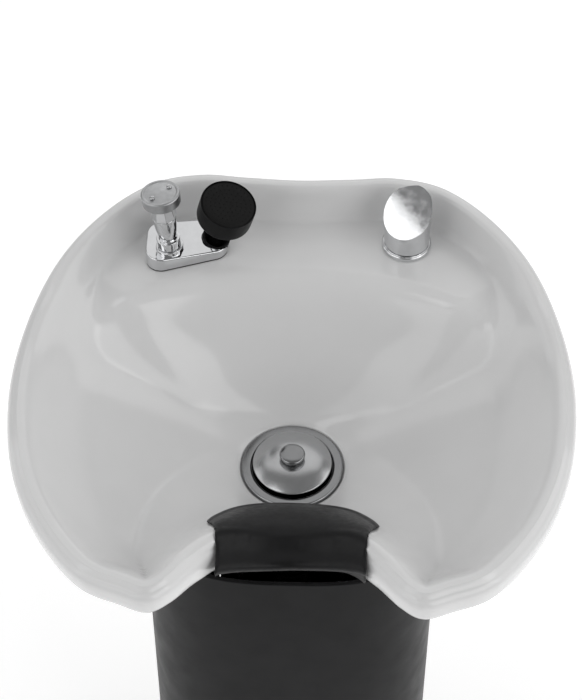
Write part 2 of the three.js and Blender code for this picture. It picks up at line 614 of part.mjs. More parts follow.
function pedestalShell() {
  const doorway = box(-DOOR.halfX - DOOR.play, DOOR.halfX + DOOR.play, 90, 200, DOOR.low - DOOR.play,
    DOOR.high + DOOR.play);
  const knuckles = KNUCKLE.low.flatMap((z) => [[z, z + 20], [z + 45, z + 65]].map(([z0, z1]) => {
    const leaf = box(-112, DOOR_AXIS.x - 2.6, 142, 150, z0, z1);
    return joined(knuckleTube(z0, z1), leaf);
  }));
  return joined(cut(wallShell(), doorway), ...knuckles);
}

function accessDoor() {
  const panel = common(wallShell(), box(-DOOR.halfX, DOOR.halfX, 90, 200, DOOR.low, DOOR.high));
  const knuckles = KNUCKLE.low.map((z) => joined(
    knuckleTube(z + 20.5, z + 44.5),
    box(DOOR_AXIS.x + 2.6, -92, 148.5, 152, z + 20.5, z + 44.5),
  ));
  const hole = rod(8, -30, 30, 20).applyMatrix4(lockFrame);
  return cut(joined(panel, ...knuckles), hole);
}

const lockY = PED_HALF_Y * (1 - (LOCK.x / PED_HALF_X) ** PED_POWER) ** (1 / PED_POWER);
const lockOut = new THREE.Vector3(
  LOCK.x ** 2 / PED_HALF_X ** 3, lockY ** 2 / PED_HALF_Y ** 3, 0).normalize();
const lockFrame = new THREE.Matrix4()
  .makeBasis(new THREE.Vector3().crossVectors(Z, lockOut), Z, lockOut)
  .setPosition(LOCK.x, lockY, LOCK.z);

add(pedestal, "pedestal_shell", pedestalShell(), PEDESTAL_BLACK);
add(pedestal, "access_door", accessDoor(), PEDESTAL_BLACK);
["lower", "upper"].forEach((name, i) => {
  const z = KNUCKLE.low[i];
  const pin = joined(rod(1.9, z - 3, z + KNUCKLE.height + 1, 10), rod(3.4, z + 65 + GAP, z + 69, 12));
  add(pedestal, `hinge_pin_${name}`, pin.translate(DOOR_AXIS.x, DOOR_AXIS.y, 0), ZINC);
});

const lock = (geometry) => geometry.applyMatrix4(lockFrame);
add(pedestal, "lock_housing", lock(turned([
  [5.3, -9], [7.6, -9], [7.6, GAP], [9.5, 0.8], [9.5, 2], [8.5, 3], [5.3, 3], [5.3, -9],
], 24)), CHROME);
add(pedestal, "lock_plug", lock(cut(
  turned([[0, -15], [3.8, -15], [3.8, -9.6], [5, -9.3], [5, 3], [0, 3]], 20),
  box(-0.6, 0.6, -3.4, 3.4, 1, 6),
)), ZINC);
add(pedestal, "lock_tongue", lock(cut(
  box(-7, 7, -32, 8, -13.3, -10), rod(4.1, -20, 0, 16),
)), ZINC);

// ---------------------------------------------------------------- frame inside the pedestal
const BASE_TOP = 6;
const WASTE = { x: 76, y: -20 };

add(pedestal, "base_plate", cut(
  extruded(superellipse(PED_HALF_X - PED_WALL - GAP, PED_HALF_Y - PED_WALL - GAP), 0, BASE_TOP),
  rod(21.5, -5, 20, 24).translate(WASTE.x, WASTE.y, 0),
), STEEL);

[["left", -1], ["right", 1]].forEach(([name, s]) => {
  const across = (x0, x1, ...rest) => box(Math.min(s * x0, s * x1), Math.max(s * x0, s * x1), ...rest);
  const post = joined(
    across(UPRIGHT_X, UPRIGHT_X + 6, -30, 30, BASE_TOP + GAP, 752),
    across(UPRIGHT_X + 3, UPRIGHT_X + 30, -30, 30, BASE_TOP + GAP, BASE_TOP + 6),
  );
  add(pedestal, `upright_${name}`, cut(post, crossHole(EAR_HOLE_R, -150, 150)), STEEL);
  const along = (geometry) => geometry.rotateY((s * Math.PI) / 2).translate(0, 0, PIVOT_Z);
  const bolt = joined(rod(6, 104, 137, 16), rod(9.5, 101, EAR_X - GAP, 6));
  add(bowlGroup, `pivot_bolt_${name}`, along(bolt), ZINC);
  add(bowlGroup, `friction_washer_${name}`, along(tube(6.5, 15, 113 + GAP, UPRIGHT_X - GAP, 20)), RUBBER);
  add(pedestal, `lock_nut_${name}`, along(nut(6.5, 11, UPRIGHT_X + 6 + GAP, 134, 6)), ZINC);
});

const BAR_Z = 340;
add(pedestal, "rear_crossbar",
  box(-UPRIGHT_X - 6, UPRIGHT_X + 6, 30 + GAP, 36, BAR_Z - 14, BAR_Z + 14), STEEL);

const VALVE = { x: 60, y: 58, low: 312, high: 380 };
function valveBody() {
  const barrel = turned([[0, VALVE.low], [9, VALVE.low], [13, VALVE.low + 6], [13, VALVE.high - 14],
    [9, VALVE.high - 10], [9, VALVE.high], [0, VALVE.high]], 18).translate(0, VALVE.y, 0);
  const arm = box(-9, 9, 36 + GAP, VALVE.y, BAR_Z - 9, BAR_Z + 9);
  const spindle = rod(4, 0, 34, 12).rotateX(-Math.PI / 2).translate(0, VALVE.y, BAR_Z);
  return joined(barrel, arm, spindle);
}
function valveHandle() {
  const hub = rod(9, 19, 29, 16).rotateX(-Math.PI / 2);
  const blade = box(-5, 5, 21, 27, -5, 42);
  const hole = rod(4 + GAP, 0, 40, 12).rotateX(-Math.PI / 2);
  return cut(joined(hub, blade), hole).translate(0, VALVE.y, BAR_Z);
}
[["hot", -1, RED], ["cold", 1, BLUE]].forEach(([name, s, colour]) => {
  add(pedestal, `valve_body_${name}`, valveBody().translate(s * VALVE.x, 0, 0), BRASS);
  add(pedestal, `valve_handle_${name}`, valveHandle().translate(s * VALVE.x, 0, 0), colour);
});

const TRAP = { y: -20, out: 290 };
function trapBody() {
  const bottle = turned([
    [0, 196], [24, 196], [34, 204], [34, 312], [26, 322], [24, 340], [0, 340],
  ], 28);
  const outlet = rod(21, 0, 41, 20).rotateY(Math.PI / 2).translate(0, 0, TRAP.out);
  return joined(bottle, outlet).translate(0, TRAP.y, 0);
}
add(pedestal, "trap_body", trapBody(), WHITE_PLASTIC);
add(pedestal, "waste_pipe", piped([
  [41.4, TRAP.y, TRAP.out], [52, TRAP.y, TRAP.out], [70, TRAP.y, TRAP.out - 14], [WASTE.x, TRAP.y, 258],
  [WASTE.x, WASTE.y, 230], [WASTE.x, WASTE.y, 1],
], 19, 12, 12, 16), WHITE_PLASTIC);

// ---------------------------------------------------------------- hoses
add(pedestal, "drain_hose", piped([
  [0, 0, 689.7], [0, 0, 650], [0, -4, 600], [0, -16, 500], [0, -20, 430], [0, -20, 340.4],
], 22, 14, 12), RUBBER);
add(pedestal, "supply_hose_hot", piped([
  [-60, 58, 380.4], [-60, 58, 420], [-66, 84, 520], [-40, 122, 620], [0, 128, 700], [20, 130, 760],
  [36, 140, 800], [72, 168, 816], [104, 192, 826], [115, 204, 840], [115, 205, 853],
  [115, 205, 865.6],
], 6, 24), BRAID);
add(pedestal, "supply_hose_cold", piped([
  [60, 58, 380.4], [60, 58, 420], [66, 84, 520], [72, 114, 620], [74, 122, 700], [75, 126, 760],
  [84, 136, 797], [110, 162, 812], [128, 190, 822], [133, 209, 838], [133, 210, 852],
  [133, 210, 865.6],
], 6, 24), BRAID);
const shankEnd = BREAKER.clone().addScaledVector(BREAKER_AXIS, -45.4);
const shankLead = BREAKER.clone().addScaledVector(BREAKER_AXIS, -66);
add(bowlGroup, "mixed_water_hose", piped([
  [124, 223, 865.6], [124, 223, 852], [122, 224, 836], [104, 224, 822], [50, 220, 806],
  [-20, 210, 802], [-90, 192, 812],
  [-124, 180, 832], shankLead.toArray(), shankEnd.toArray(),
], 6, 22), BRAID);

export default unit;
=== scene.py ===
"""A salon backwash unit: a glazed tilting bowl on a black pedestal, with its spray, mixer and neck rest.

Lengths are millimetres in the row's frame unless a name says otherwise, and become metres when a
mesh is made. +Z is up, the client's neck comes in from -Y, and the origin is under the drain.
"""
import json
import math

import bmesh
import bpy
import numpy as np
from mathutils import Matrix, Vector


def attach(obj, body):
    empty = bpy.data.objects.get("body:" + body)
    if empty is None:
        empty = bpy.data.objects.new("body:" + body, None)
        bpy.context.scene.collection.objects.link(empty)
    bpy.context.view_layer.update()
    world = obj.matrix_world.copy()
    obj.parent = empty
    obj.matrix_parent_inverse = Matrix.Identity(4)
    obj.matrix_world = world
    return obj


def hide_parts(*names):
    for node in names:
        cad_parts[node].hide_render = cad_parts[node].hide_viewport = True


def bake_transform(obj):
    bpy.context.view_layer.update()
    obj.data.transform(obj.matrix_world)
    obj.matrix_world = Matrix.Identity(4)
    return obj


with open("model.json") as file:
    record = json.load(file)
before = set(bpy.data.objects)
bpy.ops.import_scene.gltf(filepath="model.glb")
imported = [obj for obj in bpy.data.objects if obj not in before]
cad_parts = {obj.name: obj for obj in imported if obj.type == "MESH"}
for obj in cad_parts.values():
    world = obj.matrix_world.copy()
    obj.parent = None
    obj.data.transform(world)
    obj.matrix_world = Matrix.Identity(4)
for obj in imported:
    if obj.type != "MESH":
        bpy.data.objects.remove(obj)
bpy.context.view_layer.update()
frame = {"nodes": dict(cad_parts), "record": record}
SCENE = bpy.context.scene
NODES = frame["nodes"]

# ------------------------------------------------------------------ sizes shared with the CAD
RIM_Z = 930
DECK_Z = 921
DRAIN_Z = 780
SEAT_Z = DRAIN_Z - 2.5
WALL = 13
LIP_R = 11
LIP_FLAT = 15
APRON = 32
RING_INSET = 18
DRAIN_SEAT_R = 58.5
DRAIN_HOLE_R = 45
PEDESTAL_HALF = (167, 160)
PEDESTAL_TOP = 780
PEDESTAL_WALL = 5
MIXER = (124, 213, DECK_Z)
MIXER_TURN = -0.42
BREAKER = (-141.5, 184, DECK_Z + 2)
BREAKER_AXIS = Vector((-0.094, 0.07, 0.993)).normalized()
GUIDE = (-92, 204.5, DECK_Z + 14)
SPRAY_AXIS = Vector((0.235, -0.15, 0.963)).normalized()

# ------------------------------------------------------------------ camera
CAMERA_AZIMUTH = math.radians(1.6)
CAMERA_ELEVATION = math.radians(50)
CAMERA_LENS = 111.6
CAMERA_TARGET = Vector((0, -52.5, RIM_Z))
CAMERA_DISTANCE = 2294
CAMERA_RAISED = 75  # how far the view's axis passes above the target


def make_camera():
    az, el = CAMERA_AZIMUTH, CAMERA_ELEVATION
    back = Vector((math.sin(az) * math.cos(el), -math.cos(az) * math.cos(el), math.sin(el)))
    up = Vector((-math.sin(az) * math.sin(el), math.cos(az) * math.sin(el), math.cos(el)))
    data = bpy.data.cameras.new("camera")
    data.lens = CAMERA_LENS
    camera = bpy.data.objects.new("camera", data)
    camera.location = (CAMERA_TARGET + back * CAMERA_DISTANCE + up * CAMERA_RAISED) * 0.001
    camera.rotation_mode = "QUATERNION"
    camera.rotation_quaternion = (-back).to_track_quat("-Z", "Y")
    SCENE.collection.objects.link(camera)
    SCENE.camera = camera


make_camera()


# ------------------------------------------------------------------ materials
class Paint:
    """A principled material with a mottled colour, an uneven roughness and a fine relief."""

    def __init__(self, name, color, roughness, metallic=0.0):
        self.material = bpy.data.materials.new(name)
        self.material.use_nodes = True
        self.tree = self.material.node_tree
        self.shader = self.tree.nodes["Principled BSDF"]
        self.shader.inputs["Metallic"].default_value = metallic
        self.coordinates = self.tree.nodes.new("ShaderNodeTexCoord").outputs["Object"]
        self.color = color
        self.roughness = roughness
        self.relief = None

    def set(self, socket, value):
        self.shader.inputs[socket].default_value = value
        return self

    def noise(self, size_mm, detail=3.0, rough=0.55):
        node = self.tree.nodes.new("ShaderNodeTexNoise")
        node.inputs["Scale"].default_value = 1000 / size_mm
        node.inputs["Detail"].default_value = detail
        node.inputs["Roughness"].default_value = rough
        self.tree.links.new(self.coordinates, node.inputs["Vector"])
        return node.outputs["Fac"]

    def ranged(self, source, low, high, edge=(0.3, 0.7)):
        node = self.tree.nodes.new("ShaderNodeMapRange")
        node.inputs["From Min"].default_value = edge[0]
        node.inputs["From Max"].default_value = edge[1]
        node.inputs["To Min"].default_value = low
        node.inputs["To Max"].default_value = high
        self.tree.links.new(source, node.inputs["Value"])
        return node.outputs["Result"]

    def mottled(self, size_mm, amount):
        mix = self.tree.nodes.new("ShaderNodeMix")
        mix.data_type = "RGBA"
        mix.inputs["A"].default_value = (*[c * (1 - amount) for c in self.color], 1)
        mix.inputs["B"].default_value = (*[min(c * (1 + amount), 1) for c in self.color], 1)
        self.tree.links.new(self.ranged(self.noise(size_mm), 0, 1), mix.inputs["Factor"])
        self.tree.links.new(mix.outputs["Result"], self.shader.inputs["Base Color"])
        return self

    def uneven(self, size_mm, amount):
        value = self.ranged(self.noise(size_mm, 4), self.roughness - amount, self.roughness + amount)
        self.tree.links.new(value, self.shader.inputs["Roughness"])
        return self

    def bumped(self, source, depth_mm, strength=1.0):
        node = self.tree.nodes.new("ShaderNodeBump")
        node.inputs["Distance"].default_value = depth_mm * 0.001
        node.inputs["Strength"].default_value = strength
        self.tree.links.new(source, node.inputs["Height"])
        if self.relief:
            self.tree.links.new(self.relief, node.inputs["Normal"])
        self.relief = node.outputs["Normal"]
        self.tree.links.new(self.relief, self.shader.inputs["Normal"])
        return self


def glaze_paint():
    paint = Paint("glaze", (0.74, 0.74, 0.74), 0.15)
    paint.mottled(60, 0.012).uneven(35, 0.015)
    paint.bumped(paint.noise(22, 2), 0.05).bumped(paint.noise(3.5, 2), 0.004)
    return paint.set("Coat Weight", 0.15).set("Coat Roughness", 0.05).material


def chrome_paint(name="chrome", color=(0.68, 0.685, 0.695), roughness=0.06):
    paint = Paint(name, color, roughness, 1.0)
    paint.mottled(14, 0.03).uneven(9, 0.025)
    return paint.bumped(paint.noise(5, 2), 0.003).material


def dark_reflection_chrome_paint():
    """Satin chrome for the drain, with painted dark reflection: its colour is darker, so it reflects less
    than the fittings do.
    """
    return chrome_paint("satin_chrome_painted_dark", (0.27, 0.272, 0.276), 0.2)


def shell_paint():
    paint = Paint("black_shell", (0.009, 0.009, 0.0095), 0.4)
    paint.mottled(80, 0.12).uneven(30, 0.05)
    paint.set("Specular IOR Level", 0.08)
    return paint.bumped(paint.noise(1.6, 3), 0.02, 0.6).material


def gel_paint():
    paint = Paint("black_gel", (0.007, 0.007, 0.0075), 0.42)
    paint.mottled(30, 0.25).uneven(6, 0.07).set("Specular IOR Level", 0.2)
    return paint.bumped(paint.noise(12, 3), 0.25, 0.5).bumped(paint.noise(0.9, 2), 0.05, 0.8).material


def moulded_paint(name, color, roughness, shine=0.5):
    paint = Paint(name, color, roughness)
    paint.mottled(25, 0.08).uneven(8, 0.05).set("Specular IOR Level", shine)
    return paint.bumped(paint.noise(0.8, 2), 0.012, 0.6).material


def metal_paint(name, color, roughness):
    paint = Paint(name, color, roughness, 1.0)
    paint.mottled(7, 0.08).uneven(3, 0.07)
    return paint.bumped(paint.noise(0.7, 3), 0.012, 0.7).material


def braid_paint():
    """Crossed wires: two sets of diagonal waves along the hose's length and round it."""
    paint = Paint("hose_braid", (0.42, 0.425, 0.43), 0.34, 0.9)
    paint.mottled(5, 0.15).uneven(2, 0.08)
    waves = []
    for turn in (0.7, -0.7):
        mapping = paint.tree.nodes.new("ShaderNodeMapping")
        mapping.inputs["Rotation"].default_value = (turn, turn, turn)
        paint.tree.links.new(paint.coordinates, mapping.inputs["Vector"])
        wave = paint.tree.nodes.new("ShaderNodeTexWave")
        wave.inputs["Scale"].default_value = 160
        wave.inputs["Distortion"].default_value = 0.3
        paint.tree.links.new(mapping.outputs["Vector"], wave.inputs["Vector"])
        waves.append(wave.outputs["Fac"])
    product = paint.tree.nodes.new("ShaderNodeMath")
    product.operation = "MAXIMUM"
    paint.tree.links.new(waves[0], product.inputs[0])
    paint.tree.links.new(waves[1], product.inputs[1])
    return paint.bumped(product.outputs["Value"], 0.35).material


# painted dark reflection: the drain's flange and knob get a darker chrome colour
SATIN_PAINTED_DARK = dark_reflection_chrome_paint()
COVER = chrome_paint("satin_cover", (0.5, 0.504, 0.51), 0.24)
BRUSHED = metal_paint("brushed_chrome", (0.42, 0.424, 0.43), 0.38)  # the breaker cap
PAINTS = {
    "white_glaze": glaze_paint(),
    "black_gel": gel_paint(),
    "black_shell": shell_paint(),
    "chrome": chrome_paint(),
    "black_plastic": moulded_paint("black_plastic", (0.004, 0.004, 0.0044), 0.42, 0.12),
    "rubber": moulded_paint("rubber", (0.005, 0.005, 0.005), 0.62, 0.2),
    "zinc": metal_paint("zinc", (0.48, 0.49, 0.5), 0.36),
    "black_steel": moulded_paint("black_steel", (0.014, 0.014, 0.015), 0.5),
    "steel": metal_paint("steel", (0.5, 0.505, 0.51), 0.25),
    "brass": metal_paint("brass", (0.55, 0.4, 0.17), 0.28),
    "hose_braid": braid_paint(),
    "white_plastic": moulded_paint("white_plastic", (0.62, 0.62, 0.6), 0.4),
    "red_plastic": moulded_paint("red_plastic", (0.36, 0.02, 0.02), 0.35),
    "blue_plastic": moulded_paint("blue_plastic", (0.02, 0.06, 0.32), 0.35),
}


# ------------------------------------------------------------------ mesh tools
def smoothstep(value, low, high):
    t = np.clip((np.asarray(value, float) - low) / (high - low), 0, 1)
    return t * t * (3 - 2 * t)


def lerp(a, b, t):
    return a + (b - a) * t


def level(xy, z):
    """A ring of plan points at one height, or at a height for each."""
    return np.column_stack([xy, np.broadcast_to(z, len(xy))])


def around(radius, count):
    """Evenly spaced points on a circle."""
    angles = [2 * math.pi * i / count for i in range(count)]
    return [(radius * math.cos(a), radius * math.sin(a)) for a in angles]


def skin(rings, closed=False, caps=True):
    """Vertices and faces over rings of points, each ring a closed loop."""
    rings = [np.asarray(ring, float) for ring in rings]
    n, m = len(rings[0]), len(rings)
    faces = []
    for j in range(m if closed else m - 1):
        k = (j + 1) % m
        faces += [(j * n + i, j * n + (i + 1) % n, k * n + (i + 1) % n, k * n + i) for i in range(n)]
    if caps and not closed:
        faces += [tuple(range(n)), tuple((m - 1) * n + i for i in range(n))]
    return np.vstack(rings), faces


def mesh_piece(name, vertices, faces):
    mesh = bpy.data.meshes.new(name)
    mesh.from_pydata((np.asarray(vertices, float) * 0.001).tolist(), [], [list(f) for f in faces])
    work = bmesh.new()
    work.from_mesh(mesh)
    bmesh.ops.remove_doubles(work, verts=work.verts, dist=2e-6)
    bmesh.ops.recalc_face_normals(work, faces=work.faces)
    work.to_mesh(mesh)
    work.free()
    piece = bpy.data.objects.new(name, mesh)
    SCENE.collection.objects.link(piece)
    return piece


def dressed(piece, slot, body, *nodes, bevel=0.0, sections=3, weld=True):
    """Gives a piece its finish, rounds its sharp edges, and hangs it on its body."""
    piece.data.materials.clear()
    piece.data.materials.append(PAINTS[slot])
    piece.data.polygons.foreach_set("use_smooth", [True] * len(piece.data.polygons))
    if bevel:
        modifier = piece.modifiers.new("rounded", "BEVEL")
        modifier.width = bevel * 0.001
        modifier.segments = sections
        modifier.limit_method = "ANGLE"
        modifier.angle_limit = math.radians(32)
    if weld:
        normals = piece.modifiers.new("normals", "WEIGHTED_NORMAL")
        normals.keep_sharp = True
    if nodes:
        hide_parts(*nodes)
    if body:
        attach(piece, body)
    return piece


def placed(piece, at=(0, 0, 0), axis=Vector((0, 0, 1)), turn=0.0):
    spin = Vector((0, 0, 1)).rotation_difference(axis).to_matrix().to_4x4()
    piece.matrix_world = Matrix.Translation(Vector(at) * 0.001) @ spin @ Matrix.Rotation(turn, 4, "Z")
    bpy.context.view_layer.update()
    return piece


def turned(name, profile, segments=96, closed=False):
    """A lathe body about +Z from (radius, height) points."""
    a = np.linspace(0, 2 * math.pi, segments, endpoint=False)
    circle = np.column_stack([np.cos(a), np.sin(a)])
    rings = [level(r * circle, z) for r, z in profile]
    return mesh_piece(name, *skin(rings, closed=closed, caps=False))


def arc(centre, radius, start, end, steps=8):
    """Points of a lathe profile on an arc, angles in degrees from the +r direction."""
    angles = np.radians(np.linspace(start, end, steps + 1))
    return [(centre[0] + radius * math.cos(a), centre[1] + radius * math.sin(a)) for a in angles]


def box_piece(name, low, high):
    corners = [[(low, high)[(k >> axis) & 1][axis] for axis in range(3)] for k in range(8)]
    faces = [(0, 2, 3, 1), (4, 5, 7, 6), (0, 1, 5, 4), (2, 6, 7, 3), (0, 4, 6, 2), (1, 3, 7, 5)]
    return mesh_piece(name, corners, faces)


def boolean(piece, tool, operation="DIFFERENCE"):
    modifier = piece.modifiers.new("cut", "BOOLEAN")
    modifier.operation = operation
    modifier.solver = "EXACT"
    modifier.object = tool
    applied(piece)
    bpy.data.objects.remove(tool)
    return piece


def applied(piece):
    """Bakes a piece's modifiers into its mesh."""
    bpy.context.view_layer.update()
    evaluated = piece.evaluated_get(bpy.context.evaluated_depsgraph_get())
    mesh = bpy.data.meshes.new_from_object(evaluated)
    piece.modifiers.clear()
    piece.data = mesh
    return piece


def joined(piece, *others):
    """One object from several that share its frame."""
    work = bmesh.new()
    work.from_mesh(piece.data)
    for other in others:
        bpy.context.view_layer.update()
        mesh = other.data.copy()
        mesh.transform(piece.matrix_world.inverted() @ other.matrix_world)
        work.from_mesh(mesh)
        bpy.data.objects.remove(other)
    work.to_mesh(piece.data)
    work.free()
    return piece


def sliced(piece, point, normal):
    """Cuts away what lies on the normal's side of a plane, in the piece's own frame."""
    work = bmesh.new()
    work.from_mesh(piece.data)
    everything = work.verts[:] + work.edges[:] + work.faces[:]
    cut = bmesh.ops.bisect_plane(work, geom=everything, plane_co=Vector(point) * 0.001,
                                 plane_no=Vector(normal), clear_outer=True)
    edges = [e for e in cut["geom_cut"] if isinstance(e, bmesh.types.BMEdge)]
    bmesh.ops.holes_fill(work, edges=edges)
    work.to_mesh(piece.data)
    work.free()
    return piece


def along(points, steps):
    """Points of a smooth curve through the given ones, and the directions there."""
    p = np.asarray(points, float)
    chord = np.concatenate([[0], np.cumsum(np.sqrt(np.linalg.norm(np.diff(p, axis=0), axis=1)))])
    before = p[0] * 2 - p[1]
    after = p[-1] * 2 - p[-2]
    padded = np.vstack([before, p, after])
    knots = np.concatenate([[-chord[1]], chord, [2 * chord[-1] - chord[-2]]])
    out = []
    for t in np.linspace(0, chord[-1], steps):
        i = min(max(int(np.searchsorted(chord, t, side="right")), 1), len(p) - 1)
        k, q = knots[i - 1:i + 3], padded[i - 1:i + 3]
        a = [((k[j + 1] - t) * q[j] + (t - k[j]) * q[j + 1]) / (k[j + 1] - k[j]) for j in range(3)]
        b = [((k[j + 2] - t) * a[j] + (t - k[j]) * a[j + 1]) / (k[j + 2] - k[j]) for j in range(2)]
        out.append(((k[2] - t) * b[0] + (t - k[1]) * b[1]) / (k[2] - k[1]))
    out = np.array(out)
    return out, np.gradient(out, axis=0)


def hose(name, points, radius, steps=160, sides=24, ridges=0.0, pitch=1):
    """A hose of a round section, ridged for a corrugated one."""
    centres, ways = along(points, steps)
    side = np.array([1.0, 0, 0])
    rings = []
    for j, (centre, way) in enumerate(zip(centres, ways)):
        way = way / np.linalg.norm(way)
        side = side - way * side.dot(way)
        side = side / np.linalg.norm(side)
        other = np.cross(way, side)
        a = np.linspace(0, 2 * math.pi, sides, endpoint=False)
        r = radius + ridges * (0.5 + 0.5 * math.cos(2 * math.pi * j / pitch)) - ridges
        rings.append(centre + r * (np.outer(np.cos(a), side) + np.outer(np.sin(a), other)))
    return mesh_piece(name, *skin(rings))


# ------------------------------------------------------------------ the bowl's shape
RIM_HALF = [
    (0, 272), (60, 275), (112, 278), (168, 262), (226, 209), (270, 143), (297, 62), (304, -20),
    (292, -112), (262, -186), (214, -247), (168, -269), (138, -278), (114, -264), (88, -232), (56, -200),
    (0, -187),
]
RIM = np.array(RIM_HALF + [(-x, y) for x, y in RIM_HALF[-2:0:-1]], float)
NECK_DIP = 46
NECK_HALF = 125
REAR_RISE = 38
FRONT_FALL = 4
MEASURED_AT_ONCE = 4000  # points, to keep the table of distances small


def rim_at(t):
    """Points and unit directions of the rim's outline, for t from 0 at the rear round to 1."""
    n = len(RIM)
    position = np.mod(np.asarray(t, float), 1) * n
    i = np.floor(position).astype(int)
    w = (position - i)[..., None]
    p0, p1, p2, p3 = (RIM[(i + k) % n] for k in (-1, 0, 1, 2))
    m1, m2 = (p2 - p0) / 2, (p3 - p1) / 2
    point = (2 * w**3 - 3 * w**2 + 1) * p1 + (w**3 - 2 * w**2 + w) * m1
    point = point + (-2 * w**3 + 3 * w**2) * p2 + (w**3 - w**2) * m2
    way = (6 * w**2 - 6 * w) * (p1 - p2) + (3 * w**2 - 4 * w + 1) * m1 + (3 * w**2 - 2 * w) * m2
    return point, way / np.linalg.norm(way, axis=-1, keepdims=True)


RIM_DENSE = rim_at(np.linspace(0, 1, 1800, endpoint=False))[0]


def inset_of(x, y):
    """How far points lie inside the rim's outline."""
    flat = np.column_stack([np.ravel(x), np.ravel(y)])
    out = np.empty(len(flat))
    for start in range(0, len(flat), MEASURED_AT_ONCE):
        part = flat[start:start + MEASURED_AT_ONCE]
        gaps = ((part[:, None] - RIM_DENSE[None]) ** 2).sum(-1)
        out[start:start + MEASURED_AT_ONCE] = np.sqrt(gaps.min(1))
    return out.reshape(np.shape(x))


def neck_share(x, y):
    bell = np.where(np.abs(x) < NECK_HALF, 0.5 + 0.5 * np.cos(math.pi * x / NECK_HALF), 0)
    return bell * smoothstep(-y, 60, 150)


def rim_top(x, y):
    rise = REAR_RISE * smoothstep(y, 5, 245) - FRONT_FALL * smoothstep(-y, 100, 250)
    return RIM_Z + rise - NECK_DIP * neck_share(x, y)


def smooth_max(a, b, blend):
    h = np.maximum(blend - np.abs(a - b), 0) / blend
    return np.maximum(a, b) + h * h * blend / 4


def wall_z(x, y, inset):
    rear = smoothstep(y, 120, 200)
    slope = lerp(lerp(2.2, 5, rear), 0.95, neck_share(x, y))
    soft = lerp(15, 4, rear)
    run = np.maximum(inset - LIP_FLAT, 0)
    return rim_top(x, y) - slope * (np.hypot(run, soft) - soft)


def funnel_z(x, y, inset):
    out = np.maximum(np.hypot(x, y) - DRAIN_SEAT_R, 0)
    u = out / (out + np.maximum(inset - 22, 0) + 1e-6)
    foot = lerp(rim_top(x, y) - 26, 850, smoothstep(y, 80, 170))
    return DRAIN_Z + (foot - DRAIN_Z) * (0.75 * u + 0.25 * u * u)


EDGE_SOFT = 22  # how far each side of its line the shelf's front edge is rounded
EDGE_SLOPE = 1.7
BASIN_BLEND = 60
DECK_BLEND = (30, 12)  # towards the basin, and round the fittings
VALLEY_BLEND = 40  # more, where the shelf's front runs out into the basin


def deck_z(x, y):
    front = 155.5 - 0.0009 * x**2 - 0.9e-8 * x**4 - y
    curved = EDGE_SLOPE * (front + EDGE_SOFT) ** 2 / (4 * EDGE_SOFT)
    fall = np.where(front < -EDGE_SOFT, 0, np.where(front > EDGE_SOFT, EDGE_SLOPE * front, curved))
    around = np.arctan2(np.abs(x), np.maximum(y + 30, 1))
    return DECK_Z - fall - 60 * smoothstep(around, 0.84, 1.22)


def top_z(x, y, inset):
    x, y, inset = (np.asarray(v, float) for v in (x, y, inset))
    lip = rim_top(x, y) - LIP_R + np.sqrt(np.maximum(LIP_R**2 - (LIP_R - inset) ** 2, 0))
    basin = smooth_max(wall_z(x, y, inset), funnel_z(x, y, inset), BASIN_BLEND)
    clear = smoothstep(np.hypot(x, y), 70, 150) * (1 - smoothstep(y, 90, 150))
    blend = lerp(*DECK_BLEND, smoothstep(y, 120, 190)) + VALLEY_BLEND * clear
    inner = smooth_max(basin, deck_z(x, y), blend)
    return np.where(inset < LIP_R, lip, inner)


def under_z(x, y):
    """Keeps a ball of the wall's thickness below every point of the inside."""
    low = rim_top(x, y) - APRON
    for reach in (0, 0.5, 0.85):
        for a in np.arange(0, 2 * math.pi, math.pi / 6) if reach else (0,):
            px, py = x + reach * WALL * math.cos(a), y + reach * WALL * math.sin(a)
            inset = inset_of(px, py)
            z = top_z(px, py, inset) - WALL * math.sqrt(1 - reach**2)
            low = np.where(inset > LIP_FLAT, np.minimum(low, z), low)
    return low


SPOKES = 256
FOOT_R = 77
FOOT_Z = 764
APRON_EDGE = (  # how far in from the rim's outline, and how far below the rim
    (0.1, 15), (0.4, 19), (0.7, 23), (1.3, 26), (2.6, 29), (4.6, 31.2), (7, APRON),
)


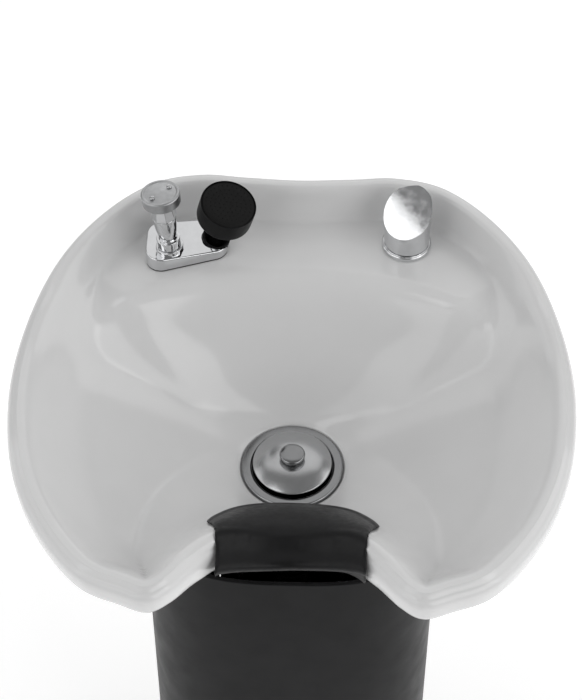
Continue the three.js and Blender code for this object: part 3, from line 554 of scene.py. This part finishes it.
def bowl_rings():
    t = np.arange(SPOKES) / SPOKES
    rim, way = rim_at(t)
    inward = np.column_stack([way[:, 1], -way[:, 0]])
    base = rim + inward * RING_INSET
    angle = np.unwrap(np.arctan2(base[:, 0], base[:, 1]))
    ripple = angle - 2 * math.pi * t * np.sign(angle[-1] - angle[0])
    kernel = np.hanning(27)
    ripple = np.convolve(np.tile(ripple, 3), kernel / kernel.sum(), "same")[SPOKES:2 * SPOKES]
    spoke = ripple + 2 * math.pi * t * np.sign(angle[-1] - angle[0])
    round_ = np.column_stack([np.sin(spoke), np.cos(spoke)])

    def between(share, radius, height):
        xy = lerp(base, round_ * radius, share)
        return level(xy, height(xy[:, 0], xy[:, 1]))

    def lip(d, height):
        xy = rim + inward * d
        return level(xy, height(xy[:, 0], xy[:, 1]))

    def inside(x, y):
        return top_z(x, y, inset_of(x, y))

    seat = [(DRAIN_HOLE_R, SEAT_Z - 1.5), (DRAIN_HOLE_R + 1.5, SEAT_Z), (DRAIN_SEAT_R - 1, SEAT_Z),
            (DRAIN_SEAT_R - 0.2, SEAT_Z + 0.6), (DRAIN_SEAT_R, DRAIN_Z - 0.8)]
    rings = [level(round_ * r, z) for r, z in seat]
    for s in 1 - np.linspace(0.004, 1, 64) ** 0.9:
        rings.append(between(s, DRAIN_SEAT_R, inside))
    for d in (16, 14.5, 13, 12, 11):
        rings.append(lip(d, lambda x, y, d=d: top_z(x, y, np.full(len(x), float(d)))))
    for a in np.linspace(75, 0, 7):
        rings.append(lip(LIP_R - LIP_R * math.sin(math.radians(90 - a)),
                         lambda x, y, a=a: rim_top(x, y) - LIP_R + LIP_R * math.sin(math.radians(a))))
    for d, drop in APRON_EDGE:
        rings.append(lip(d, lambda x, y, drop=drop: rim_top(x, y) - drop))
    rings.append(lip(10, under_z))
    rings.append(lip(RING_INSET - 4, under_z))
    for s in np.linspace(0.015, 1, 26):
        rings.append(between(s, FOOT_R, under_z))
    foot = [(FOOT_R - 3, FOOT_Z + 4), (FOOT_R - 4.4, FOOT_Z + 0.8), (FOOT_R - 6, FOOT_Z),
            (DRAIN_HOLE_R + 1, FOOT_Z)]
    return rings + [level(round_ * r, z) for r, z in foot]


BOSS = (92, 70)
BOSS_R = 14
BOSS_Z = (770, 789)


def make_bowl():
    bowl = mesh_piece("bowl_glazed", *skin(bowl_rings(), closed=True))
    for i, (sx, sy) in enumerate(((1, 1), (-1, 1), (-1, -1), (1, -1))):
        low, high = BOSS_Z
        boss = turned(f"boss_{i}", [
            (0, high), (0, low), (BOSS_R - 1.5, low), (BOSS_R, low + 1.5), (BOSS_R, high), (0, high)], 40)
        joined(bowl, placed(boss, (sx * BOSS[0], sy * BOSS[1], 0)))
    dressed(bowl, "white_glaze", "bowl", "bowl", weld=False)


# ------------------------------------------------------------------ neck rest
REST_SHIFT = 4.5
REST_FOLD = (77, -206, -27)  # half width, y in the middle, and how much further forward at the ends
REST_EDGE = (93, -84, -52)
REST_CROWN = 20
REST_CORNER = 8
REST_LEAST = 3.6  # the gel's thickness where evening its top would thin it
REST_LINES = 97
REST_SKIRT = -29
REST_VOXEL = 0.0016
RIM_T = np.linspace(0, 1, len(RIM_DENSE), endpoint=False)
RIM_WAY = rim_at(RIM_T)[1]


def signed_inset(x, y):
    """How far inside the rim's outline points lie, negative outside it."""
    points = np.column_stack([np.ravel(x), np.ravel(y)])
    gaps = ((points[:, None] - RIM_DENSE[None]) ** 2).sum(-1)
    near = gaps.argmin(1)
    offset = points - RIM_DENSE[near]
    side = offset[:, 0] * RIM_WAY[near, 1] - offset[:, 1] * RIM_WAY[near, 0]
    return (np.sign(side) * np.sqrt(gaps.min(1))).reshape(np.shape(x))


def rest_plan(k, q):
    """The plan position at share k of the half width and share q from the fold to the edge."""
    bend = np.abs(k)
    fold = (REST_FOLD[0] * k, REST_FOLD[1] + REST_FOLD[2] * bend**1.8)
    edge = (REST_EDGE[0] * k, REST_EDGE[1] + REST_EDGE[2] * bend**3.6)
    waist = -20 * np.sign(k) * bend**3 * q * (1 - q)
    return REST_SHIFT + lerp(fold[0], edge[0], q) + waist, lerp(fold[1], edge[1], q)


def rest_thickness(k, q):
    """How far the gel's top stands above the glaze."""
    most = lerp(REST_CROWN, REST_CORNER, abs(k) ** 3)
    thick = 5 + (most - 5) * smoothstep(q, 0.2, 0.7)
    thick = thick * np.sqrt(np.maximum(1 - np.clip((q - 0.88) / 0.12, 0, 1) ** 2, 0))
    side = math.sqrt(max(1 - min(max((abs(k) - 0.93) / 0.07, 0), 1) ** 2, 0))
    return thick * (0.3 + 0.7 * side)


def rest_ground(x, y):
    inset = signed_inset(x, y)
    return np.where(inset < LIP_R, rim_top(x, y), top_z(x, y, np.maximum(inset, LIP_R)))


def evened(q, height):
    """Rounds the top's bends off, but leaves the two ends where they are."""
    spread = 0.17 * np.sin(np.clip(q, 0, 0.9) / 0.9 * math.pi) + 1e-3
    weight = np.exp(-(((q[:, None] - q[None]) / spread[:, None]) ** 2))
    return (weight * height).sum(1) / weight.sum(1)


def rest_line(k):
    """One closed section of the saddle, along the line at share k."""
    crowded = 1 - 0.14 * np.cos(np.linspace(0.15, math.pi / 2, 14)) ** 1.2
    q = np.concatenate([np.linspace(0.0, 0.86, 40), crowded])
    x, y = rest_plan(k, q)
    ground = rest_ground(x, y)
    thick = rest_thickness(k, q)
    height = np.maximum(evened(q, ground + thick), ground + np.minimum(REST_LEAST, thick))
    top = np.column_stack([x, y, height])
    below = np.linspace(0.97, 0.22, 30)
    x, y = rest_plan(k, below)
    bottom = np.column_stack([x, y, rest_ground(x, y) + np.minimum(0.8, rest_thickness(k, below) * 0.5)])
    lip = np.linspace(8, -2.2, 6)
    tried = np.linspace(-0.2, 0.5, 60)
    share = np.interp(lip, signed_inset(*rest_plan(k, tried)), tried)
    x, y = rest_plan(k, share)
    brow = rim_top(x, y)
    drop = LIP_R - np.sqrt(np.maximum(LIP_R**2 - (LIP_R - np.maximum(lip, 0)) ** 2, 0))
    hook = np.column_stack([x, y, brow - drop + 0.9])
    hang = np.array([[x[-1], y[-1], brow[-1] + z] for z in (-16, -22, REST_SKIRT + 1)])
    fold = top[0]
    front = min(fold[1] + 1.2, hang[-1][1] - 5)
    curl = []
    for a in np.linspace(-90, 75, 12):
        c, s = math.cos(math.radians(a)), math.sin(math.radians(a))
        curl.append((fold[0], front - 2.5 + 4.5 * (1 - c), fold[2] - 5.5 + 5.5 * s))
    back = hang[-1][1] - 4.5
    skirt = [(fold[0], lerp(back, front, u), fold[2] + lerp(REST_SKIRT + 2, -12, u)) for u in (0, 0.5, 1)]
    bottom_edge = [(fold[0], back + 2, fold[2] + REST_SKIRT)]
    return np.vstack([top[2:], bottom, hook, hang, bottom_edge, skirt, curl])


def make_neck_rest():
    share = np.sin(np.linspace(-math.pi / 2, math.pi / 2, REST_LINES))
    share = lerp(np.linspace(-1, 1, REST_LINES), share, 0.6)
    rest = mesh_piece("neck_rest_gel", *skin([rest_line(k) for k in share]))
    even = rest.modifiers.new("even", "REMESH")
    even.mode = "VOXEL"
    even.voxel_size = REST_VOXEL
    applied(rest)
    smooth = rest.modifiers.new("smooth", "SMOOTH")
    smooth.iterations = 6
    smooth.factor = 0.5
    applied(rest)
    dressed(rest, "black_gel", "bowl", "neck_rest", weld=False)


# ------------------------------------------------------------------ drain and strainer
COVER_Z = SEAT_Z + 8.5


def make_drain():
    flange = turned("drain_flange_polished", [
        (33, SEAT_Z - 47), (41, SEAT_Z - 46.4), (43.6, SEAT_Z - 44), *arc((49, SEAT_Z), 5, 180, 95, 6),
        *arc((54.6, SEAT_Z + 2.2), 2.9, 80, 0, 6), (57.5, SEAT_Z + 0.4), (44.7, SEAT_Z + 0.4),
        (44.7, 759), (46, 757.5), (46, SEAT_Z - 46), (44, SEAT_Z - 49), (20, SEAT_Z - 49),
        (20, SEAT_Z - 60), (17, SEAT_Z - 60), (17, SEAT_Z - 47), (33, SEAT_Z - 47),
    ], 128)
    # the flange's darker chrome colour is painted dark reflection
    dressed(flange, "chrome", "bowl", "drain_flange", bevel=0.25).data.materials[0] = SATIN_PAINTED_DARK
    cover = turned("strainer_cover_domed", [
        (4, COVER_Z + 1.5), (40, COVER_Z + 1.2), *arc((42.8, COVER_Z + 1.5), 1.5, -90, 60, 6),
        (41, COVER_Z + 3.9), (36, COVER_Z + 6.1), (30, COVER_Z + 7.9), (24, COVER_Z + 9.0),
        (17, COVER_Z + 9.6), (4, COVER_Z + 9.9), (4, COVER_Z + 1.5),
    ], 128)
    dressed(cover, "chrome", "strainer", "strainer_cover").data.materials[0] = COVER
    knob = turned("strainer_knob_polished", [
        (0, COVER_Z - 2), (3.7, COVER_Z - 2), (3.7, COVER_Z + 9.6), (11.6, COVER_Z + 9.9),
        (12.6, COVER_Z + 10.6), (13.2, COVER_Z + 13), *arc((12, COVER_Z + 16.4), 2.4, 0, 80, 6),
        (8, COVER_Z + 19.0), (0, COVER_Z + 19.3),
    ], 96)
    # the knob's darker chrome colour is painted dark reflection
    dressed(knob, "chrome", "strainer", "strainer_knob", weld=False).data.materials[0] = SATIN_PAINTED_DARK
    low = SEAT_Z - 38
    basket = turned("strainer_basket_pierced", [
        (3.4, low + 2), (3.4, COVER_Z - 2.3), (0, COVER_Z - 2.3), (0, low), (36, low),
        *arc((36, low + 2), 2, -90, 0, 4),
        (38, SEAT_Z + 3), (37.2, SEAT_Z + 3.6), (36.5, SEAT_Z + 3), (36.5, low + 3), (3.4, low + 2),
    ], 96)
    for x, y in around(14, 6) + around(25, 12):
        hole = turned("hole", [(0, low - 4), (2.6, low - 4), (2.6, low + 7), (0, low + 7)], 16)
        boolean(basket, placed(hole, (x, y, 0)))
    dressed(basket, "chrome", "strainer", "strainer_basket")


# ------------------------------------------------------------------ fixture plate, breaker and spray
PLATE = ((-170, 157), (-76, 188), (-87, 236), (-170, 220))
PLATE_R = 17
PLATE_Z = DECK_Z + 2.1
PLATE_THICK = 17  # over its left end, at PLATE_LEFT
PLATE_LEFT = -158
PLATE_SLOPE = 7 / 86  # how fast it thins towards the right
PLATE_EDGE = 1.6
SEAT_UP = 20


def plate_outline(shrink=0.0):
    outline = []
    radius = PLATE_R - shrink
    for i, corner in enumerate(PLATE):
        here = Vector(corner)
        before = (Vector(PLATE[i - 1]) - here).normalized()
        after = (Vector(PLATE[(i + 1) % 4]) - here).normalized()
        half = math.acos(before.dot(after)) / 2
        centre = here + (before + after).normalized() * (PLATE_R / math.sin(half))
        start = math.atan2(before.x, -before.y)
        for a in np.linspace(start, start + math.pi - 2 * half, 15):
            outline.append((centre.x + radius * math.cos(a), centre.y + radius * math.sin(a)))
    return np.array(outline)


def plate_top(x):
    return PLATE_Z + PLATE_THICK - PLATE_SLOPE * (x - PLATE_LEFT)


def make_plate():
    rings = [level(plate_outline(), PLATE_Z)]
    for a in np.radians(np.linspace(0, 90, 7)):
        xy = plate_outline(PLATE_EDGE * (1 - math.cos(a)))
        rings.append(level(xy, plate_top(xy[:, 0]) - PLATE_EDGE + PLATE_EDGE * math.sin(a)))
    plate = mesh_piece("fixture_plate_cast", *skin(rings))
    hole = turned("hole", [(0, -40), (16.4, -40), (16.4, 1), (19.5, 6), (19.5, 40), (0, 40)], 96)
    boolean(plate, placed(hole, GUIDE, SPRAY_AXIS))
    collar = turned("collar", [
        (11.6, -4), (15.5, -4), (15.5, SEAT_UP - 1.6), *arc((14.5, SEAT_UP - 1), 1, 0, 90, 5),
        (11.6, SEAT_UP), (11.6, -4)], 96)
    joined(plate, placed(collar, BREAKER, BREAKER_AXIS))
    dressed(plate, "chrome", "bowl", "fixture_plate", bevel=0.3)
    gasket_line = plate_outline(0.3)
    rings = [level(gasket_line, z) for z in (DECK_Z + 0.2, PLATE_Z - 0.1)]
    dressed(mesh_piece("plate_gasket_strip", *skin(rings)), "rubber", "bowl", "plate_gasket", weld=False)


UP = SEAT_UP + 0.3
CAP_LOW = UP + 68.3
PIP_CIRCLE = 14.3


def make_breaker():
    body = turned("breaker_body", [
        (0, -45), (11, -45), (11, UP - 1), (12.2, UP), *arc((12.6, UP + 1), 0.8, -90, 0, 4),
        *arc((12.6, UP + 10.4), 0.8, 0, 90, 4), (10.4, UP + 11.4), (10.0, UP + 13), (10.2, UP + 15),
        (10.8, UP + 17.5), (11.5, UP + 22), (12.2, UP + 27), (12.8, UP + 33), (13.2, UP + 38),
        (13.4, UP + 42.4), (13.0, UP + 43.2), (10, UP + 43.4), (10, UP + 58.6), (13.4, UP + 58.8),
        (14, UP + 59.6), (14, UP + 68), (12.5, UP + 68), (10, UP + 68), (10, UP + 52), (0, UP + 52),
    ], 96)
    dressed(placed(body, BREAKER, BREAKER_AXIS), "chrome", "bowl", "vacuum_breaker_body", bevel=0.3)
    facets = turned("breaker_shoulder", [
        (9, UP + 42.6), (13.9, UP + 42.8), (14.3, UP + 43.8), (14.1, UP + 46), (12.2, UP + 58.2),
        (9, UP + 58.4), (9, UP + 42.6)], 8)
    dressed(placed(facets, BREAKER, BREAKER_AXIS, 0.25), "chrome", "bowl", bevel=0.35)
    facets.data.polygons.foreach_set("use_smooth", [False] * len(facets.data.polygons))
    cap = turned("breaker_cap", [
        (0, CAP_LOW), (15, CAP_LOW), (15.4, CAP_LOW - 3.2), *arc((20.4, CAP_LOW - 2.4), 1.2, -80, 0, 4),
        (21.9, CAP_LOW + 7.4), *arc((19.9, CAP_LOW + 7.8), 2.1, 5, 90, 7), (18.4, CAP_LOW + 9.7),
        (17.9, CAP_LOW + 9.2), (17.2, CAP_LOW + 9.2), (8, CAP_LOW + 10.0), (0, CAP_LOW + 10.2),
    ], 128)
    pips = []
    for x, y in around(PIP_CIRCLE, 40):
        pip = turned("pip", [(0, 0), (0.42, 0), (0.3, 0.35), (0, 0.45)], 6)
        pips.append(placed(pip, (x, y, CAP_LOW + 9.2)))
    joined(cap, *pips)
    placed(cap, BREAKER, BREAKER_AXIS)
    dressed(cap, "chrome", "bowl", "vacuum_breaker_cap", bevel=0.2).data.materials[0] = BRUSHED
    for i, (x, y) in enumerate(((-8, -9.5), (9.5, 8))):
        head = turned(f"cap_screw_head_{i + 1}", [
            (0, 4.5), (1.6, 4.5), (1.6, 9.6), (2.8, 9.8), *arc((2.2, 10.9), 0.8, 0, 80, 4), (0, 12.0)], 40)
        boolean(head, box_piece("slot", (-4, -0.45, 11.3), (4, 0.45, 14)))
        turn = Vector((0, 0, 1)).rotation_difference(BREAKER_AXIS).to_matrix()
        at = Vector(BREAKER) + turn @ Vector((x, y, CAP_LOW))
        placed(head, at, BREAKER_AXIS, 0.6 * i)
        dressed(head, "steel", "bowl", f"cap_screw_{i + 1}", bevel=0.12)


FACE_UP = 69


def make_spray():
    guide = turned("hose_guide_insert", [
        (8.6, -46), (12.5, -46), (12.5, -7.5), (16, -7.5), (16, 1.6), *arc((15.3, 1.9), 0.7, 0, 90, 4),
        (14.2, 2.2), (13, 1.2), (11.2, -2), (9.6, -6), (8.6, -9), (8.6, -46),
    ], 96)
    dressed(placed(guide, GUIDE, SPRAY_AXIS), "black_plastic", "bowl", "hose_guide", bevel=0.25)
    head = turned("spray_head_shell", [
        (7.3, 28), (10.2, 28), (11, 29.2), (12.6, 32.4), (16.6, 35.8), (22, 38.4),
        *arc((27.6, 44.6), 3.6, -60, -8, 6), (31.35, 48), (31.5, 56), (31.5, FACE_UP - 0.9),
        *arc((30.7, FACE_UP - 0.9), 0.8, 0, 90, 5), (30.5, FACE_UP - 0.8), (30.2, FACE_UP - 4),
        (24, FACE_UP - 14), (7.3, FACE_UP - 14), (7.3, 28),
    ], 128)
    dressed(placed(head, GUIDE, SPRAY_AXIS), "black_plastic", "spray", "spray_head", bevel=0.2)
    face = turned("spray_face_plate", [
        (0, FACE_UP - 13.7), (23.6, FACE_UP - 13.7), (29.8, FACE_UP - 3.8), (29.9, FACE_UP - 1.4),
        (29.3, FACE_UP - 1.0), (20, FACE_UP - 1.1), (0, FACE_UP - 1.2),
    ], 96)
    nozzles = []
    for radius, count in ((5, 6), (10, 12), (15, 18), (20, 24), (25.5, 30)):
        for x, y in around(radius, count):
            nozzle = turned("nozzle", [(0.9, -1), (0.9, 0.2), (0.6, 0.9), (0.3, 0.9), (0.3, -1)], 8)
            nozzles.append(placed(nozzle, (x, y, FACE_UP - 1.4)))
    joined(face, *nozzles)
    dressed(placed(face, GUIDE, SPRAY_AXIS), "rubber", "spray", "spray_face", weld=False)
    stem = turned("spray_stem_ferrule", [
        (0, -125), (7.6, -125), (8.2, -124), (8.2, 2), (7.9, 3), (7.9, 9), (8.3, 10), (8.3, 13),
        (7.2, 14.5), (7, 17), (7, 36), (0, 36)], 64)
    dressed(placed(stem, GUIDE, SPRAY_AXIS), "chrome", "spray", "spray_stem", bevel=0.2)


# ------------------------------------------------------------------ mixer
SEAM_MIDDLE = 41
SEAM_SLOPE = 0.42
SEAM_GAP = 0.5
LIFT_Y = 14
LIFT_DEG = 18
BARREL_R = 25.8
LEVER_R = 27
LEVER_FORWARD = 1.2  # of the barrel's axis
LEVER_CORNER = 1.875  # how far its corners may stand out for each step of the power
LEVER_LEVELS = ((0, 2), (40, 2), (50, 2.2), (60, 2.5), (72, 2.8), (120, 2.8))  # height, power
FACET_MIDDLE = 54
FACET_SLOPE = 0.62


def mixer_cap():
    """The lever before it is cut: round below, and squarer towards the top."""
    a = np.linspace(0, 2 * math.pi, 160, endpoint=False)
    c, s = np.abs(np.cos(a + MIXER_TURN)), np.abs(np.sin(a + MIXER_TURN))
    rings = []
    for z, power in LEVER_LEVELS:
        r = LEVER_R * (c**power + s**power) ** (-1 / power)
        r = np.minimum(r, LEVER_R + LEVER_CORNER * (power - 2))
        rings.append(level(np.column_stack([r * np.cos(a), r * np.sin(a) - LEVER_FORWARD]), z))
    return mesh_piece("mixer_cap", *skin(rings))


def make_mixer():
    ring = turned("mixer_ring", [
        (17.4, 0.3), (27.2, 0.3), *arc((27.2, 1.5), 0.8, -90, 0, 3), *arc((26.6, 4.6), 1.5, 10, 70, 5),
        (26.9, 7.2), (26.4, 7.8), (17.4, 7.8), (17.4, 0.3)], 128)
    dressed(placed(ring, MIXER, turn=MIXER_TURN), "chrome", "bowl", "mixer_base_ring", bevel=0.25)
    lift_z = SEAM_MIDDLE + SEAM_SLOPE * LIFT_Y
    body = turned("mixer_barrel", [
        (0, 8.2), (BARREL_R - 0.4, 8.2), (BARREL_R, 8.8), (BARREL_R, 80), (0, 80)], 128)
    sliced(body, (0, 0, SEAM_MIDDLE - SEAM_GAP), (0, -SEAM_SLOPE, 1))
    back_slope = math.tan(math.atan(SEAM_SLOPE) - math.radians(LIFT_DEG + 1))
    sliced(body, (0, LIFT_Y, lift_z - SEAM_GAP), (0, -back_slope, 1))
    lug = box_piece("lug", (-4, LIFT_Y - 4.5, lift_z - 10), (4, LIFT_Y + 4.5, lift_z + 4.5))
    joined(body, lug)
    dressed(placed(body, MIXER, turn=MIXER_TURN), "chrome", "mixer_upper", "mixer_body", bevel=0.6)
    lever = mixer_cap()
    sliced(lever, (0, 0, SEAM_MIDDLE), (0, SEAM_SLOPE, -1))
    sliced(lever, (0, 0, FACET_MIDDLE), (0, -FACET_SLOPE, 1))
    boolean(lever, box_piece("slot", (-4.6, LIFT_Y - 7.3, lift_z - 12), (4.6, LIFT_Y + 7.3, lift_z + 7.3)))
    placed(lever, MIXER, turn=MIXER_TURN)
    dressed(lever, "chrome", "mixer_lever", "mixer_lever", bevel=1.2, sections=5)


# ------------------------------------------------------------------ pedestal
PEDESTAL_POWER = 3  # 2 would be an ellipse, and more is squarer
PEDESTAL_LEVELS = (60, 120, 390, 660, 720)


def superellipse(half_x, half_y, count=240):
    a = np.arange(count) * 2 * math.pi / count
    c, s = np.cos(a), np.sin(a)
    power = PEDESTAL_POWER
    r = (np.abs(c / half_x) ** power + np.abs(s / half_y) ** power) ** (-1 / power)
    return np.column_stack([r * c, r * s])


def wall_tube(name):
    """The pedestal's wall, with a rolled top edge."""
    half_x, half_y = PEDESTAL_HALF
    rings = []

    def ring(inset, z):
        rings.append(level(superellipse(half_x - inset, half_y - inset), z))

    for z in (0, 1, *PEDESTAL_LEVELS, PEDESTAL_TOP - 2.2):
        ring(0, z)
    for a in np.radians(np.linspace(20, 90, 5)):
        ring(1.6 - 1.6 * math.cos(a), PEDESTAL_TOP - 1.6 + 1.6 * math.sin(a))
    for a in np.radians(np.linspace(90, 0, 5)):
        ring(PEDESTAL_WALL - 1.2 + 1.2 * math.cos(a), PEDESTAL_TOP - 1.2 + 1.2 * math.sin(a))
    for z in (*reversed(PEDESTAL_LEVELS), 0):
        ring(PEDESTAL_WALL, z)
    return mesh_piece(name, *skin(rings, closed=True))


DOOR = (98.5, 123, 657)  # half width, bottom and top
DOOR_PLAY = 1.5
DOOR_CUT = (90, 200)  # from inside the hollow to well behind the wall
DOOR_AXIS = (-106, 150.5)
KNUCKLES = (190, 535)


def knuckle(name, low, high, leaf_low, leaf_high):
    tube = turned(name, [(2.3, low), (4.3, low), (4.3, high), (2.3, high), (2.3, low)], 40)
    placed(tube, (*DOOR_AXIS, 0))
    return joined(tube, box_piece("leaf", (*leaf_low, low), (*leaf_high, high)))


def make_pedestal():
    shell = wall_tube("pedestal_wall")
    half, low, high = DOOR
    inside, outside = DOOR_CUT
    wide = half + DOOR_PLAY
    opening = box_piece("doorway", (-wide, inside, low - DOOR_PLAY), (wide, outside, high + DOOR_PLAY))
    boolean(shell, opening)
    for z in KNUCKLES:
        for a, b in ((z, z + 20), (z + 45, z + 65)):
            joined(shell, knuckle("knuckle", a, b, (-112, 142), (DOOR_AXIS[0] - 2.6, 150)))
    dressed(shell, "black_shell", "pedestal", "pedestal_shell", bevel=0.35)
    door = wall_tube("door_panel")
    boolean(door, box_piece("cutter", (-half, inside, low), (half, outside, high)), "INTERSECT")
    for z in KNUCKLES:
        joined(door, knuckle("door_knuckle", z + 20.5, z + 44.5, (DOOR_AXIS[0] + 2.6, 148.5), (-92, 152)))
    dressed(door, "black_shell", "door", "access_door", bevel=0.5)


# ------------------------------------------------------------------ hoses
HOSE_R = 6
DRAIN_HOSE_R = 22


def make_hoses():
    lead = Vector(BREAKER) + BREAKER_AXIS * -66
    end = Vector(BREAKER) + BREAKER_AXIS * -45.4
    mixed = hose("mixed_hose", [
        (124, 223, 865.6), (124, 223, 852), (122, 224, 836), (104, 224, 822), (50, 220, 806),
        (-20, 210, 802), (-90, 192, 812), (-124, 180, 832), tuple(lead), tuple(end)], HOSE_R)
    dressed(mixed, "hose_braid", "bowl", "mixed_water_hose", weld=False)
    hot = hose("hot_hose", [
        (-60, 58, 380.4), (-60, 58, 420), (-66, 84, 520), (-40, 122, 620), (0, 128, 700), (20, 130, 760),
        (36, 140, 800), (72, 168, 816), (104, 192, 826), (115, 204, 840), (115, 205, 853),
        (115, 205, 865.6)], HOSE_R, 220)
    cold = hose("cold_hose", [
        (60, 58, 380.4), (60, 58, 420), (66, 84, 520), (72, 114, 620), (74, 122, 700), (75, 126, 760),
        (84, 136, 797), (110, 162, 812), (128, 190, 822), (133, 209, 838), (133, 210, 852),
        (133, 210, 865.6)], HOSE_R, 220)
    for piece, node in ((hot, "supply_hose_hot"), (cold, "supply_hose_cold")):
        dressed(piece, "hose_braid", None, node, weld=False)
        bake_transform(piece)
    drain = hose("drain_hose_ribbed", [
        (0, 0, 689.7), (0, 0, 650), (0, -4, 600), (0, -16, 500), (0, -20, 430), (0, -20, 340.4),
    ], DRAIN_HOSE_R, steps=400, sides=40, ridges=2.2, pitch=10)
    dressed(drain, "rubber", None, "drain_hose", weld=False)
    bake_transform(drain)


# ------------------------------------------------------------------ pieces kept from the CAD
def repaint_frame():
    slots = {part["node"]: part["material_slot"] for part in frame["record"]["subparts"]}
    for name, node in NODES.items():
        if node.hide_render:
            continue
        node.data.materials.clear()
        node.data.materials.append(PAINTS[slots[name]])


# ------------------------------------------------------------------ floor and light
FLOOR_HALF = 30.0  # metres
FLOOR_DROP = 0.0004  # metres, so that it doesn't share the unit's bottom face
FLOOR_GLOW = 0.4


def make_stage():
    floor = bpy.data.meshes.new("floor")
    corners = [(x * FLOOR_HALF, y * FLOOR_HALF, 0) for x, y in ((-1, -1), (1, -1), (1, 1), (-1, 1))]
    floor.from_pydata(corners, [], [(0, 1, 2, 3)])
    plane = bpy.data.objects.new("floor", floor)
    plane.location.z = -FLOOR_DROP
    SCENE.collection.objects.link(plane)
    paint = Paint("floor_paint", (0.9, 0.9, 0.9), 0.8)
    paint.mottled(900, 0.01)
    paint.set("Emission Color", (1, 1, 1, 1)).set("Emission Strength", FLOOR_GLOW)
    floor.materials.append(paint.material)


def area_light(name, at, target, size, power):
    data = bpy.data.lights.new(name, "AREA")
    data.shape = "RECTANGLE"
    data.size, data.size_y = size
    data.energy = power
    light = bpy.data.objects.new(name, data)
    light.location = at
    light.rotation_mode = "QUATERNION"
    light.rotation_quaternion = (Vector(target) - Vector(at)).to_track_quat("-Z", "Y")
    SCENE.collection.objects.link(light)


LIT = (0, 0, 0.9)  # metres, where every lamp points
LAMPS = (  # name, place in metres, width and height in metres, watts
    ("rear", (0, 2.3, 3.1), (3.4, 2.4), 16),
    ("low_rear", (0, 3.2, 1.9), (2.6, 1.6), 11),
    ("right", (2.8, 0, 2.2), (3.0, 3.0), 34),
    ("left", (-2.8, 0, 2.2), (3.0, 3.0), 25),
    ("front_right", (2.0, -1.9, 2.4), (2.2, 2.2), 24),
    ("front_left", (-2.0, -1.9, 2.4), (2.2, 2.2), 13),
    ("top_left", (-1.3, -0.8, 3.4), (1.0, 1.0), 5),
)
WORLD_STRENGTH = 0.26


def make_light():
    world = bpy.data.worlds.new("studio")
    world.use_nodes = True
    world.node_tree.nodes["Background"].inputs["Color"].default_value = (1, 1, 1, 1)
    world.node_tree.nodes["Background"].inputs["Strength"].default_value = WORLD_STRENGTH
    SCENE.world = world
    SCENE.view_settings.view_transform = "Standard"
    for name, at, size, power in LAMPS:
        area_light(name, at, LIT, size, power)


make_bowl()
make_neck_rest()
make_drain()
make_plate()
make_breaker()
make_spray()
make_mixer()
make_pedestal()
make_hoses()
repaint_frame()
make_stage()
make_light()
